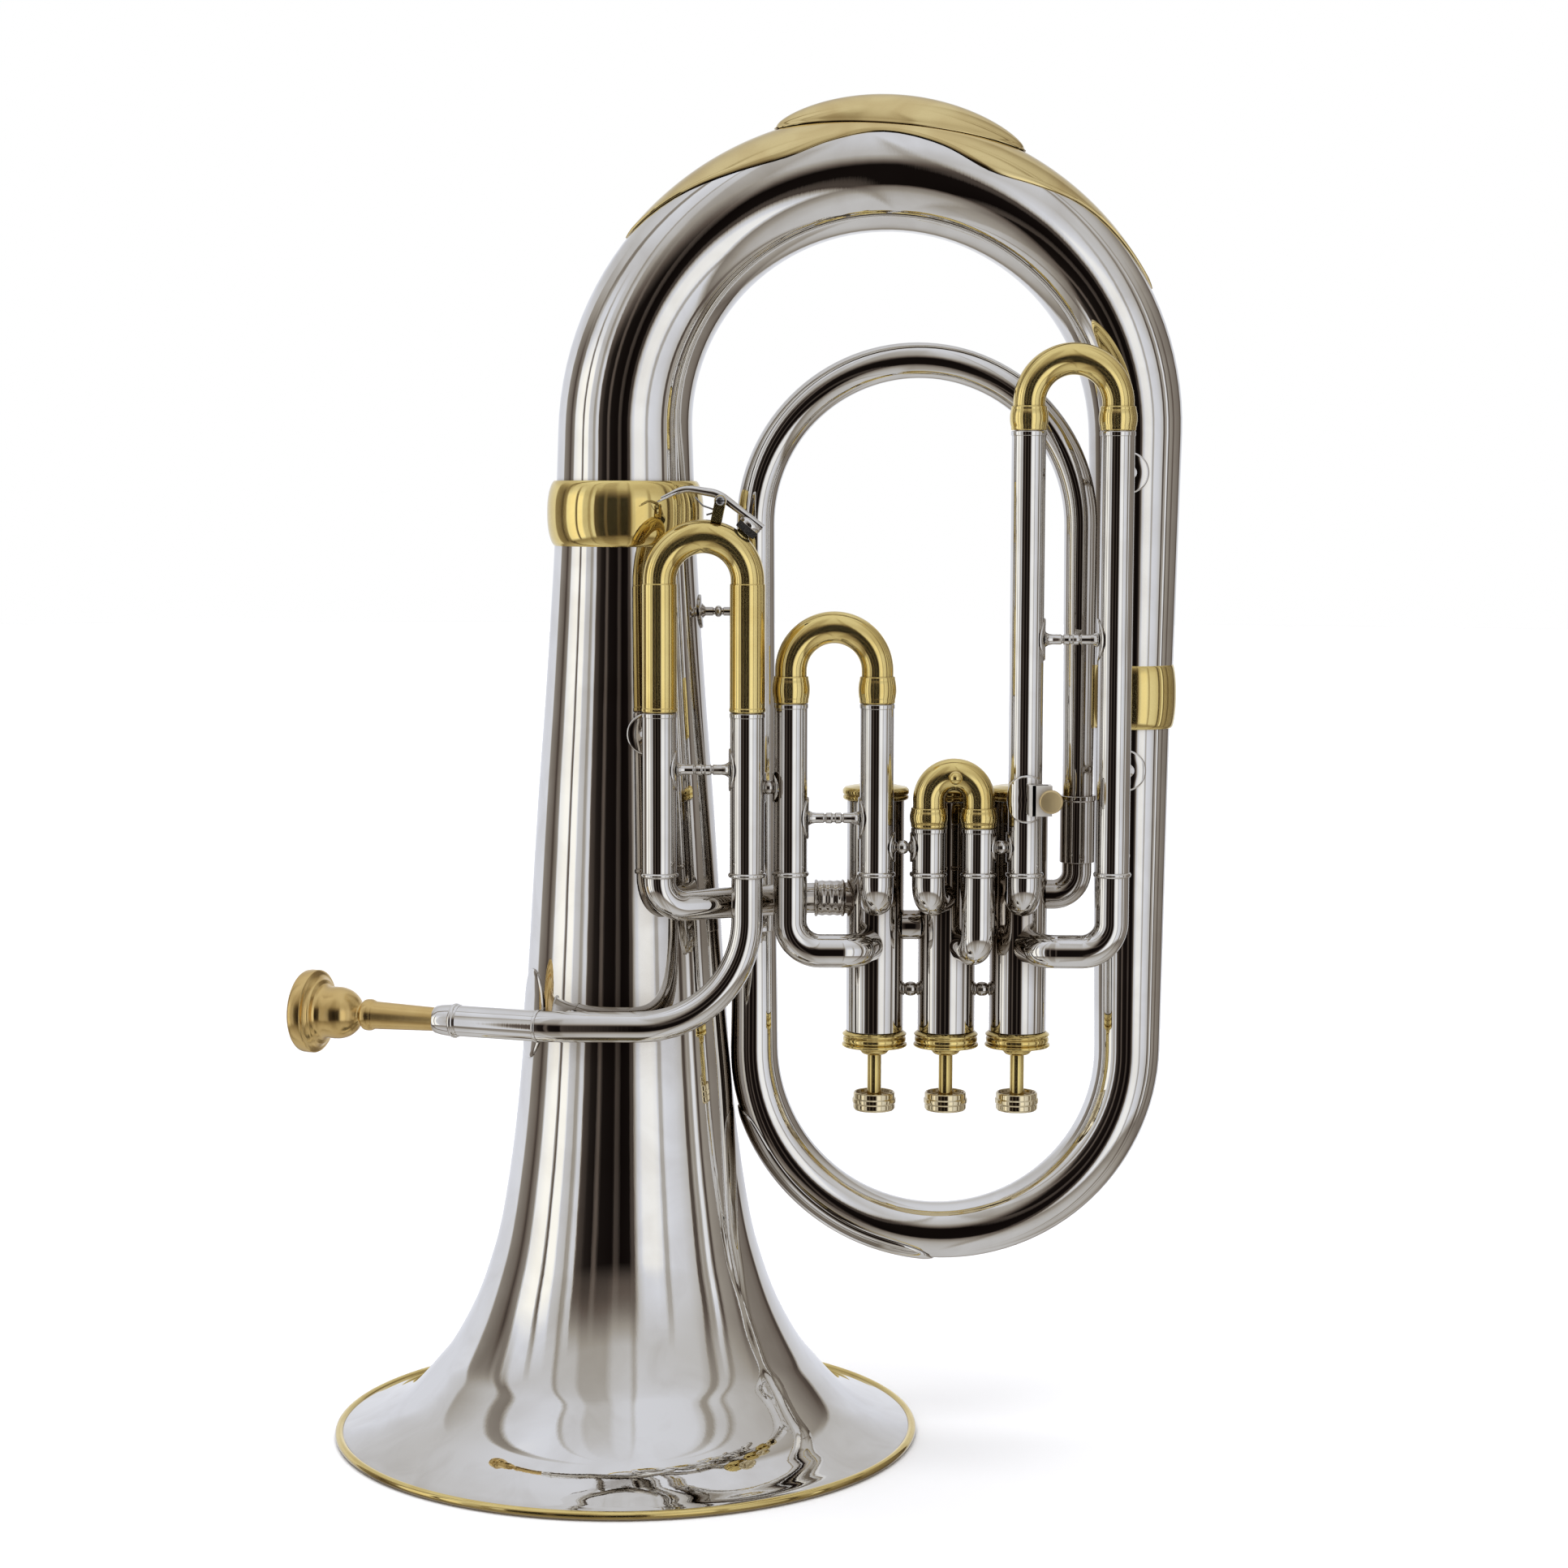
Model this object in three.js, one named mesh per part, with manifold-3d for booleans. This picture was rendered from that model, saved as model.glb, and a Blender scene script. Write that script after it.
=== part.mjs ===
// Three-valve euphonium standing on its bell: tubes, valves, pull-out slides and fittings.
// Millimetres, +Z up. The design axes run through the bell: X towards the valves, -Y towards the
// slides. The finished group is shifted so that its origin is the bottom centre of its box.
import * as THREE from 'three';
import { mergeVertices } from 'three/addons/utils/BufferGeometryUtils.js';
import Module from 'manifold-3d';

const wasm = await Module();
wasm.setup();

// ---- Driving dimensions -------------------------------------------------------------------
const GAP = 0.3;                 // air left between pieces that touch
const WALL = 0.9;                // wall of the slide and branch tubes
const BELL_R = 140;              // bell rim radius, outside the wire
const BELL_END = 441;            // height where the bell stem ends
const BELL_END_R = 32.8;
const RIM_WIRE = 3.8;            // thickness of the rim wire
const BOW_R = 120;               // centre-line radius of the top bow
const BOW_Z = 479;               // height of its centre
const BRANCH_Z = 356;            // joint between top bow and right branch
const BRANCH_R = 18.2;
const BOW_RIGHT_X = 2 * BOW_R;   // right branch, shared by both bows
const LOWER_LEFT_X = 61.5;
const LOWER_R = (BOW_RIGHT_X - LOWER_LEFT_X) / 2;
const LOWER_Z = 186.4;           // height of the bottom bow's centre
const LOOP_TOP_Z = 513;          // crown of the inner loop
const LOOP_JOINT_Z = 249;
const LOOP_X = 212.8;            // right leg of the inner loop
const VALVE_X = [118.3, 152, 185.7];
const VALVE_Y = -22;
const CASING_R = 13.4;
const CASING_BORE = 12.3;
const CASING_LOW = 199;
const CASING_HIGH = 308;
const PISTON_R = 11.9;
const PISTON_LOW = 214;
const PISTON_HIGH = 280;
const BUTTON_Z = 170.5;          // face of the finger button that meets the stem
const SLIDE_Y = -50;             // plane of the three valve slides
const MAIN_Y = -56;              // plane of the main tuning slide
const TUBE_R = 7.8;
const TUBE_BORE = 7;
const LEG_R = 6.6;               // inner legs that run inside the slide tubes
const LEG_BORE = 5.8;
const RING_Z = 276.5;            // bead at the lower end of every slide tube
const PORT_HIGH = 263.7;         // height of the knuckles behind the slides
const PORT_LOW = 240.5;
const PORT_MAIN = 261.2;
const PORT_CROSS = 249;
const PORT_R = 6.4;
const LEAD_Y = -58;
const LEAD_Z = 206;
const LEAD_R = 7.2;
const LEAD_BORE = 6.3;
const LEAD_KINK_X = -32;         // where the leadpipe turns towards the player
const LEAD_TURN = THREE.MathUtils.degToRad(20);
const MOUTHPIECE_RUN = 127.5;    // from the kink to the mouthpiece rim
const LEAD_PLATE = { turn: THREE.MathUtils.degToRad(24), tall: 42, wide: 26, thick: 1.3, run: 14 };
const KEY = { x: 46, z: 447.5 }; // pivot of the water key
const REST = { x: 129, length: 119, width: 36 };  // oval cap on the top bow
const SIDES = { fine: 28, wide: 16, valve: 16, tube: 10, rod: 6 };
const BEND_STEP = 30;            // degrees of bend between two rings of a tube

// ---- Materials ----------------------------------------------------------------------------
function metal(color, roughness) {
  return new THREE.MeshStandardMaterial({ color, roughness, metalness: 1 });
}
const nickel = () => metal(0xc9c6c0, 0.12);
const brass = () => metal(0xc9a24e, 0.18);
const satinBrass = () => metal(0xb8913f, 0.35);
const steel = () => metal(0x8f9296, 0.3);
const cork = () => new THREE.MeshStandardMaterial({ color: 0x17130f, roughness: 0.9, metalness: 0 });

// ---- Solids -------------------------------------------------------------------------------
function closedIndex(geometry) {
  geometry.deleteAttribute('normal');
  geometry.deleteAttribute('uv');
  const merged = mergeVertices(geometry, 1e-4);
  const place = merged.attributes.position;
  const kept = [];
  let volume = 0;
  const [a, b, c] = [new THREE.Vector3(), new THREE.Vector3(), new THREE.Vector3()];
  for (let i = 0; i < merged.index.count; i += 3) {
    const corner = [0, 1, 2].map((k) => merged.index.getX(i + k));
    if (new Set(corner).size < 3) continue;
    a.fromBufferAttribute(place, corner[0]);
    b.fromBufferAttribute(place, corner[1]);
    c.fromBufferAttribute(place, corner[2]);
    volume += a.dot(b.cross(c));
    kept.push(corner);
  }
  if (volume < 0) kept.forEach((corner) => corner.reverse());
  merged.setIndex(kept.flat());
  return merged;
}

function solid(geometry) {
  const closed = closedIndex(geometry);
  return new wasm.Manifold(new wasm.Mesh({
    numProp: 3,
    vertProperties: new Float32Array(closed.attributes.position.array),
    triVerts: new Uint32Array(closed.index.array),
  }));
}

function geometryOf(shape) {
  const mesh = shape.getMesh();
  const geometry = new THREE.BufferGeometry();
  geometry.setAttribute('position', new THREE.BufferAttribute(mesh.vertProperties, 3));
  geometry.setIndex(new THREE.BufferAttribute(mesh.triVerts, 1));
  return geometry;
}

function joined(...geometries) {
  const [first, ...rest] = geometries.map(solid);
  return geometryOf(rest.reduce((whole, piece) => whole.add(piece), first));
}

function cut(geometry, ...cutters) {
  return geometryOf(cutters.map(solid).reduce((whole, piece) => whole.subtract(piece), solid(geometry)));
}

// ---- Shapes -------------------------------------------------------------------------------
// A turned piece about +Z from an outline of [radius, height] points that is closed here.
function turned(outline, sides = SIDES.valve) {
  const points = outline.map(([r, z]) => new THREE.Vector2(r, z));
  if (outline[0][0] > 0) points.push(points[0].clone());
  return new THREE.LatheGeometry(points, sides).rotateX(Math.PI / 2);
}

function ring(inner, outer, low, high, sides = SIDES.tube) {
  return turned([[inner, low], [outer, low], [outer, high], [inner, high]], sides);
}

function disc(radius, low, high, sides = SIDES.tube) {
  return turned([[0, low], [radius, low], [radius, high], [0, high]], sides);
}

function box(size, centre) {
  return new THREE.BoxGeometry(...size).translate(...centre);
}

// Turns a piece built along +Z so that it runs along a direction from a point.
function aimed(geometry, from, direction) {
  const up = new THREE.Vector3(0, 0, 1);
  const turn = new THREE.Quaternion().setFromUnitVectors(up, direction.clone().normalize());
  return geometry.applyQuaternion(turn).translate(from.x, from.y, from.z);
}

function rod(from, to, radius, sides = SIDES.rod) {
  const start = new THREE.Vector3(...from);
  const along = new THREE.Vector3(...to).sub(start);
  return aimed(disc(radius, 0, along.length(), sides), start, along);
}

// Stations along a route of straight runs whose corners are rounded: [x, y, z, bend radius].
function route(corners, step = BEND_STEP) {
  const spots = corners.map(([x, y, z]) => new THREE.Vector3(x, y, z));
  const stations = [];
  const add = (at, heading) => stations.push({ at: at.clone(), heading: heading.clone() });
  spots.forEach((spot, i) => {
    const after = i < spots.length - 1 ? spots[i + 1].clone().sub(spot).normalize() : null;
    const before = i > 0 ? spot.clone().sub(spots[i - 1]).normalize() : after;
    const radius = corners[i][3];
    if (!radius || !after || i === 0) {
      add(spot, after ?? before);
      return;
    }
    const bend = before.angleTo(after);
    const reach = radius * Math.tan(bend / 2);
    const side = after.clone().addScaledVector(before, -after.dot(before)).normalize();
    const centre = spot.clone().addScaledVector(before, -reach).addScaledVector(side, radius);
    const count = Math.max(2, Math.ceil(THREE.MathUtils.radToDeg(bend) / step));
    const previous = stations.at(-1);
    for (let k = 0; k <= count; k += 1) {
      const angle = bend * k / count;
      const at = centre.clone()
        .addScaledVector(side, -radius * Math.cos(angle))
        .addScaledVector(before, radius * Math.sin(angle));
      const heading = before.clone().multiplyScalar(Math.cos(angle)).addScaledVector(side, Math.sin(angle));
      if (k > 0 || previous.at.distanceTo(at) > 0.5) add(at, heading);
    }
  });
  let length = 0;
  stations.forEach((station, i) => {
    if (i > 0) length += station.at.distanceTo(stations[i - 1].at);
    station.run = length;
  });
  stations.forEach((station) => { station.share = station.run / length; });
  return stations;
}

// A straight turned tube that is then bent along its route, ring by ring. With no bore it is a rod.
function bentTube(stations, outerAt, boreAt = null, sides = SIDES.tube) {
  const outline = stations.map((station, i) => new THREE.Vector2(outerAt(station.share), i));
  if (boreAt) {
    const inside = stations.map((station, i) => new THREE.Vector2(boreAt(station.share), i));
    outline.push(...inside.reverse(), outline[0].clone());
  } else {
    outline.unshift(new THREE.Vector2(0, 0));
    outline.push(new THREE.Vector2(0, stations.length - 1));
  }
  const tube = new THREE.LatheGeometry(outline, sides);
  const startsAlongY = Math.abs(stations[0].heading.y) > 0.9;
  let across = startsAlongY ? new THREE.Vector3(1, 0, 0) : new THREE.Vector3(0, 1, 0);
  const frames = stations.map(({ heading }) => {
    across = across.clone().addScaledVector(heading, -across.dot(heading)).normalize();
    return { across, other: across.clone().cross(heading) };
  });
  const place = tube.attributes.position;
  for (let i = 0; i < place.count; i += 1) {
    const index = Math.round(place.getY(i));
    const point = stations[index].at.clone()
      .addScaledVector(frames[index].across, place.getX(i))
      .addScaledVector(frames[index].other, place.getZ(i));
    place.setXYZ(i, point.x, point.y, point.z);
  }
  return tube;
}

const even = (value) => () => value;
const taper = (from, to) => (share) => from + (to - from) * share;
const pipe = (corners, outer, bore) => bentTube(route(corners), even(outer), even(bore));

// ---- Assembly -----------------------------------------------------------------------------
const horn = new THREE.Group();

function place(name, geometry, material, parent = horn) {
  const mesh = new THREE.Mesh(closedIndex(geometry), material);
  mesh.name = name;
  parent.add(mesh);
  return mesh;
}

// ---- Bell ---------------------------------------------------------------------------------
const BELL_WALL = 1;
const bellOutside = [[135.9, 2.4], [124, 6.5], [106, 16.5], [91.5, 33], [74, 60], [62, 95], [53.8, 142],
  [47, 222], [42, 300], [34.2, 410], [BELL_END_R, BELL_END]];

function stemRadius(height) {
  const above = bellOutside.findIndex(([, z]) => z >= height);
  const [[lowR, lowZ], [highR, highZ]] = bellOutside.slice(above - 1, above + 1);
  return THREE.MathUtils.mapLinear(height, lowZ, highZ, lowR, highR);
}

function bell() {
  const flare = 6;   // the sheet is measured square to its surface, which leans most near the rim
  const inside = bellOutside.map(([r, z], i) => {
    const lean = Math.max(0, 1 - i / flare);
    return [r - BELL_WALL * (1 - 0.75 * lean), z - 1.3 * BELL_WALL * lean];
  });
  place('bell', turned([...bellOutside, ...inside.reverse()], SIDES.fine), nickel());
  const wire = [[136.2, 0], [BELL_R - 0.7, 0], [BELL_R, 1], [BELL_R, RIM_WIRE - 1],
    [BELL_R - 0.9, RIM_WIRE], [136.9, RIM_WIRE], [136.2, RIM_WIRE - 0.8]];
  place('bell_rim_wire', turned(wire, SIDES.fine), brass());
  const barrel = [[34.8, 426], [36.6, BELL_END], [34.6, 456.5], [33.7, 456.5], [33.8, 434], [34.4, 426]];
  place('bell_ferrule', turned(barrel, SIDES.fine), brass());
}

// ---- Large branches -----------------------------------------------------------------------
const bowStations = route([[0, 0, BELL_END + GAP], [0, 0, BOW_Z + BOW_R, BOW_R],
  [BOW_RIGHT_X, 0, BOW_Z + BOW_R, BOW_R], [BOW_RIGHT_X, 0, BRANCH_Z + GAP / 2]], 15);
const bowRadius = (share) => 32.8 - 13.8 * share ** 0.9;

// The stations of the top bow between two angles, counted from its left leg over the crown.
function bowArc(fromDegrees, toDegrees) {
  return bowStations.filter(({ at }) => {
    const angle = THREE.MathUtils.radToDeg(Math.atan2(at.z - BOW_Z, BOW_R - at.x));
    return angle > fromDegrees - 1 && angle < toDegrees + 1;
  });
}

function topBow() {
  place('top_bow', bentTube(bowStations, bowRadius, (s) => bowRadius(s) - 1.1, SIDES.wide), nickel());
  const guardArc = bowArc(45, 150);
  const clearOfBow = (s) => bowRadius(s) + GAP + 0.1;
  const shell = bentTube(guardArc, (s) => bowRadius(s) + 1.4, clearOfBow, SIDES.wide);
  const inner = disc(131, -60, 60, 48).rotateX(Math.PI / 2).translate(BOW_R, 0, BOW_Z);
  place('top_bow_guard', cut(shell, inner), brass());
  const capArc = bowArc(45, 135);
  const raised = (lift) => solid(bentTube(capArc, (s) => bowRadius(s) + lift, null, SIDES.wide));
  // An oval dome: [share of the oval, height above the bow] from its edge to its crown.
  const levels = [[1, 4], [0.94, 6.6], [0.82, 8.8], [0.6, 10.2], [0.3, 10.6]];
  const ovals = levels.map(([share, lift]) => {
    const oval = disc(1, 560, 660, 24).scale(REST.length / 2 * share, REST.width / 2 * share, 1);
    return raised(lift).intersect(solid(oval.translate(REST.x, 0, 0)));
  });
  const dome = ovals.reduce((whole, level) => whole.add(level)).hull();
  const core = solid(disc(135, -60, 60, 48).rotateX(Math.PI / 2).translate(BOW_R, 0, BOW_Z));
  place('rest_cap', geometryOf(dome.subtract(raised(1.9)).subtract(core)), brass());
}

const lowerStations = route([[BOW_RIGHT_X, 0, BRANCH_Z - GAP / 2],
  [BOW_RIGHT_X, 0, LOWER_Z - LOWER_R, LOWER_R],
  [LOWER_LEFT_X, 0, LOWER_Z - LOWER_R, LOWER_R], [LOWER_LEFT_X, 0, LOOP_JOINT_Z]], 18);
const lowerRadius = taper(BRANCH_R, 10.4);

function lowerBow() {
  place('bottom_bow', bentTube(lowerStations, lowerRadius, (s) => lowerRadius(s) - WALL, 12), nickel());
  const barrel = [[19.9, 341], [20.8, BRANCH_Z], [20.3, 371.5], [19.9, 371.5], [19.6, BRANCH_Z], [19.2, 341]];
  place('branch_ferrule', turned(barrel, SIDES.wide).translate(BOW_RIGHT_X, 0, 0), brass());
  const lowest = lowerStations.filter(({ at }) => at.z < LOWER_Z - 10 && at.x < 165);
  const shell = bentTube(lowest, (s) => lowerRadius(s) + 1.3, (s) => lowerRadius(s) + GAP + 0.1, 12);
  const inner = disc(LOWER_R, -40, 40, 40).rotateX(Math.PI / 2)
    .translate((LOWER_LEFT_X + BOW_RIGHT_X) / 2, 0, LOWER_Z);
  place('bottom_bow_guard', cut(shell, inner), nickel());
}

function innerLoop() {
  const high = LOOP_TOP_Z;
  const bend = Math.hypot(LOOP_X - LOWER_LEFT_X, VALVE_Y) / 2;
  const leg = [[LOOP_X, VALVE_Y, 295.4], [LOOP_X, VALVE_Y, high, bend],
    [LOWER_LEFT_X, 0, high, bend], [LOWER_LEFT_X, 0, LOOP_JOINT_Z + GAP]];
  const radius = taper(6.9, 10);
  place('inner_loop', bentTube(route(leg, 18), radius, (s) => radius(s) - WALL), nickel());
  place('loop_sleeve', ring(7.6, 8.4, 279, 310.5).translate(LOOP_X, VALVE_Y, 0), nickel());
}

// ---- Valves -------------------------------------------------------------------------------
const casingAt = (index, radius, low = 150, high = 330) =>
  disc(radius, low, high, SIDES.valve).translate(VALVE_X[index], VALVE_Y, 0);

// Every port of a casing: which way it leaves the valve axis, and how high.
const slidePorts = [
  [{ to: [118.3, SLIDE_Y], z: PORT_HIGH }, { to: [108, SLIDE_Y], z: PORT_LOW }],
  [{ to: [141.5, SLIDE_Y], z: PORT_HIGH }, { to: [163.5, -46], z: PORT_LOW }],
  [{ to: [185.7, SLIDE_Y], z: PORT_HIGH }, { to: [196, SLIDE_Y], z: PORT_LOW }],
];

function portsOf(index) {
  const before = [VALVE_X[index] - 30, VALVE_Y];
  const after = [VALVE_X[index] + 30, VALVE_Y];
  const airIn = { to: before, z: index === 0 ? PORT_MAIN : PORT_CROSS };
  const airOut = { to: after, z: index === 2 ? PORT_HIGH : PORT_CROSS };
  return [...slidePorts[index], airIn, airOut];
}

function casing(index) {
  const [x, y] = [VALVE_X[index], VALVE_Y];
  const shell = ring(CASING_BORE, CASING_R, CASING_LOW, CASING_HIGH, SIDES.valve).translate(x, y, 0);
  const bores = portsOf(index).map(({ to, z }) => rod([x, y, z], [...to, z], PORT_R));
  place(`casing_${index + 1}`, cut(shell, ...bores), nickel());
}

function piston() {
  const wall = 1;
  const shell = turned([[0, PISTON_LOW], [PISTON_R, PISTON_LOW], [PISTON_R, PISTON_HIGH],
    [PISTON_R - wall, PISTON_HIGH], [PISTON_R - wall, PISTON_LOW + 3], [0, PISTON_LOW + 3]]);
  const across = (z, turn, radius, reach) =>
    disc(radius, -reach, reach, SIDES.rod).rotateY(Math.PI / 2).rotateZ(turn).translate(0, 0, z);
  const holes = [[228, 0.5], [252, -0.9]];
  const sleeves = holes.map(([z, turn]) => solid(across(z, turn, PORT_R + 0.8, PISTON_R - 0.6)));
  const bores = holes.map(([z, turn]) => solid(across(z, turn, PORT_R, PISTON_R + 4)));
  const envelope = solid(disc(PISTON_R, PISTON_LOW, PISTON_HIGH, SIDES.valve));
  let body = solid(shell);
  sleeves.forEach((sleeve) => { body = body.add(sleeve.intersect(envelope)); });
  bores.forEach((bore) => { body = body.subtract(bore); });
  return geometryOf(body);
}

function spring() {
  const [low, high, radius, wire, turns] = [PISTON_HIGH + 1.2, CASING_HIGH - 0.8, 8.6, 0.7, 4];
  const steps = turns * 8;
  const coil = Array.from({ length: steps + 1 }, (_, i) => {
    const angle = 2 * Math.PI * i / 8;
    const rise = (high - low) / steps;
    const climb = rise * 8 / (2 * Math.PI);
    const heading = new THREE.Vector3(-Math.sin(angle) * radius, Math.cos(angle) * radius, climb);
    const at = new THREE.Vector3(Math.cos(angle) * radius, Math.sin(angle) * radius, low + rise * i);
    return { at, heading: heading.normalize(), share: i / steps };
  });
  return bentTube(coil, even(wire), null, 4);
}

function valve(index) {
  const group = new THREE.Group();
  group.position.set(VALVE_X[index], VALVE_Y, 0);
  horn.add(group);
  const number = index + 1;
  casing(index);
  place(`piston_${number}`, piston(), steel(), group);
  place(`valve_spring_${number}`, spring(), steel(), group);
  const farCap = [[2, 308.3], [15.6, 308.3], [15.6, 312.6], [14.2, 314.4], [2, 315.8]];
  place(`bottom_cap_${number}`, turned(farCap), brass(), group);
  const nearCap = [[4, 187.6], [6.9, 187.6], [7.2, 189.6], [14.2, 190.4], [15.1, 193.6], [14.2, 194.4],
    [15.4, 196], [14.8, 198.7], [4, 198.7]];
  place(`finger_cap_${number}`, turned(nearCap), brass(), group);
  const button = [[0, 161.2], [6, 161.2], [8.8, 160.4], [10.4, 162.4], [9.9, 165.2], [10.4, 168],
    [3.3, BUTTON_Z], [3.3, PISTON_LOW - GAP], [0, PISTON_LOW - GAP]];
  place(`finger_button_${number}`, turned(button, 14), brass(), group);
}

function crossovers() {
  for (const index of [0, 1]) {
    const span = [VALVE_X[index], VALVE_X[index + 1]];
    const at = (z) => span.map((x) => [x, VALVE_Y, z]);
    const tube = pipe(at(PORT_CROSS), 6.9, 6);
    const both = [casingAt(index, CASING_R + GAP), casingAt(index + 1, CASING_R + GAP)];
    place(`crossover_${index + 1}${index + 2}`, cut(tube, ...both), nickel());
    const brace = joined(rod(...at(218.6), 2.1), aimed(disc(3.6, -1, 1), new THREE.Vector3(
      (span[0] + span[1]) / 2, VALVE_Y, 218.6), new THREE.Vector3(1, 0, 0)));
    place(`casing_brace_${index + 1}${index + 2}`, cut(brace, ...both), nickel());
  }
}

function outletElbow() {
  const corners = [[VALVE_X[2] + 8, VALVE_Y, PORT_HIGH], [LOOP_X, VALVE_Y, PORT_HIGH, 11],
    [LOOP_X, VALVE_Y, 294.9]];
  place('outlet_elbow', cut(pipe(corners, 6.9, 6), casingAt(2, CASING_R + GAP)), nickel());
}

// ---- Slides -------------------------------------------------------------------------------
// The bow that pulls out: crown, two collars and the legs that reach down inside the slide tubes.
function slideBow({ left, right, y, top, crown, sleeve, legEnd, collar }) {
  const bend = (right - left) / 2;
  const crownTube = pipe([[left, y, top + GAP], [left, y, crown, bend], [right, y, crown, bend],
    [right, y, top + GAP]], TUBE_R - 0.1, LEG_BORE);
  const pieces = [left, right].flatMap((x) => [
    ring(LEG_BORE, LEG_R, legEnd, top + 4).translate(x, y, 0),
    ring(LEG_R - 0.2, collar, top + GAP, top + sleeve).translate(x, y, 0),
  ]);
  return joined(crownTube, ...pieces);
}

function slideOne() {
  const [left, right, top] = [77.8, 118.3, 355];
  const leftTube = pipe([[left, SLIDE_Y, top], [left, SLIDE_Y, PORT_LOW, 14],
    [slidePorts[0][1].to[0], SLIDE_Y, PORT_LOW, 9], [VALVE_X[0], VALVE_Y, PORT_LOW]], TUBE_R, TUBE_BORE);
  const rightTube = pipe([[right, SLIDE_Y, top], [right, SLIDE_Y, PORT_HIGH, 8.2],
    [right, VALVE_Y, PORT_HIGH]], TUBE_R, TUBE_BORE);
  const brace = rod([left + 7.4, SLIDE_Y, 302.3], [right - 7.4, SLIDE_Y, 302.3], 2.4);
  const whole = joined(leftTube, rightTube, brace);
  place('slide_1_tubes', cut(whole, casingAt(0, CASING_R + GAP)), nickel());
  place('slide_1_bow', slideBow({ left, right, y: SLIDE_Y, top, crown: 390, sleeve: 12.6, legEnd: 284,
    collar: 8.5 }), brass());
}

function slideTwo() {
  const [left, right, top] = [141.5, 165.3, 298];
  const leftTube = joined(pipe([[left, SLIDE_Y, top], [left, SLIDE_Y, PORT_HIGH, 8.2],
    [VALVE_X[1], VALVE_Y, PORT_HIGH]], TUBE_R - 0.2, TUBE_BORE),
  rod([126.5, SLIDE_Y, 289], [left - 7.2, SLIDE_Y, 289], 2.2));
  const rightTube = joined(pipe([[right, SLIDE_Y, top], [right, SLIDE_Y, PORT_LOW, 9],
    [VALVE_X[1], VALVE_Y, PORT_LOW]], TUBE_R - 0.2, TUBE_BORE),
  rod([right + 7.2, SLIDE_Y, 289], [177.5, SLIDE_Y, 289], 2.2));
  place('slide_2_left_tube', cut(leftTube, casingAt(1, CASING_R + GAP)), nickel());
  place('slide_2_right_tube', cut(rightTube, casingAt(1, CASING_R + GAP)), nickel());
  const bow = slideBow({ left, right, y: SLIDE_Y, top, crown: 322.7, sleeve: 9.3, legEnd: 284, collar: 8.2 });
  const knob = new THREE.SphereGeometry(3.1, 8, 6).translate((left + right) / 2, SLIDE_Y - 9.6, 322);
  place('slide_2_bow', joined(bow, knob), brass());
}

function slideThree() {
  const [left, right, top] = [185.7, 227, 479.6];
  const leftTube = pipe([[left, SLIDE_Y, top], [left, SLIDE_Y, PORT_HIGH, 8.2],
    [left, VALVE_Y, PORT_HIGH]], TUBE_R, TUBE_BORE);
  const rightTube = pipe([[right, SLIDE_Y, top], [right, SLIDE_Y, PORT_LOW, 14],
    [slidePorts[2][1].to[0], SLIDE_Y, PORT_LOW, 9], [VALVE_X[2], VALVE_Y, PORT_LOW]], TUBE_R, TUBE_BORE);
  const brace = rod([left + 7.4, SLIDE_Y, 384.8], [right - 7.4, SLIDE_Y, 384.8], 2.6);
  const whole = joined(leftTube, rightTube, brace);
  place('slide_3_tubes', cut(whole, casingAt(2, CASING_R + GAP)), nickel());
  place('slide_3_bow', slideBow({ left, right, y: SLIDE_Y, top, crown: 512.3, sleeve: 11.3, legEnd: 330,
    collar: 8.5 }), brass());
}

function mainSlide() {
  const [left, right, top] = [17.8, 58.8, 351];
  const sleeve = ring(TUBE_BORE, TUBE_R + 0.1, RING_Z - 1.2, top);
  const tubes = [left, right].map((x) => sleeve.clone().translate(x, MAIN_Y, 0));
  const brace = rod([left + 7.4, MAIN_Y, 325], [right - 7.4, MAIN_Y, 325], 2.6);
  place('main_slide_tubes', joined(...tubes, brace), nickel());
  place('main_slide_bow', slideBow({ left, right, y: MAIN_Y, top, crown: 431.4, sleeve: 59, legEnd: 284,
    collar: 8.2 }), brass());
  const elbow = pipe([[left, MAIN_Y, RING_Z - 1.5], [left, MAIN_Y, PORT_MAIN, 12.5],
    [86, VALVE_Y, PORT_MAIN, 30],
    [VALVE_X[0] - 2, VALVE_Y, PORT_MAIN]], 7.2, 6.3);
  const start = new THREE.Vector3(87, VALVE_Y, PORT_MAIN);
  const coupling = aimed(ring(6.9, 8.7, 0, 14.5), start, new THREE.Vector3(1, 0, 0));
  place('main_slide_elbow', cut(joined(elbow, coupling), casingAt(0, CASING_R + GAP)), nickel());
}

// ---- Leadpipe and mouthpiece --------------------------------------------------------------
const kink = new THREE.Vector3(LEAD_KINK_X, LEAD_Y, LEAD_Z);
const towardsPlayer = new THREE.Vector3(-Math.cos(LEAD_TURN), Math.sin(LEAD_TURN), 0);
const alongLead = (run) => kink.clone().addScaledVector(towardsPlayer, run);

function leadpipe() {
  const corners = [alongLead(46).toArray(), [...kink.toArray(), 40], [58.8, LEAD_Y + 0.4, LEAD_Z, 50],
    [58.8, MAIN_Y, RING_Z - 1.5]];
  place('leadpipe', pipe(corners, LEAD_R, LEAD_BORE), nickel());
  const seat = [[5.95, 12], [6.6, 12], [7.3, 8.5], [7.7, 3], [7.9, 1.6], [7.9, 0.3], [5.95, 0.3]];
  place('mouthpiece_receiver', aimed(turned(seat, SIDES.tube), alongLead(46), towardsPlayer), nickel());
  const clear = bentTube(route(corners), even(LEAD_R + GAP));
  place('leadpipe_brace', leadpipeBrace(clear), nickel());
}

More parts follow.
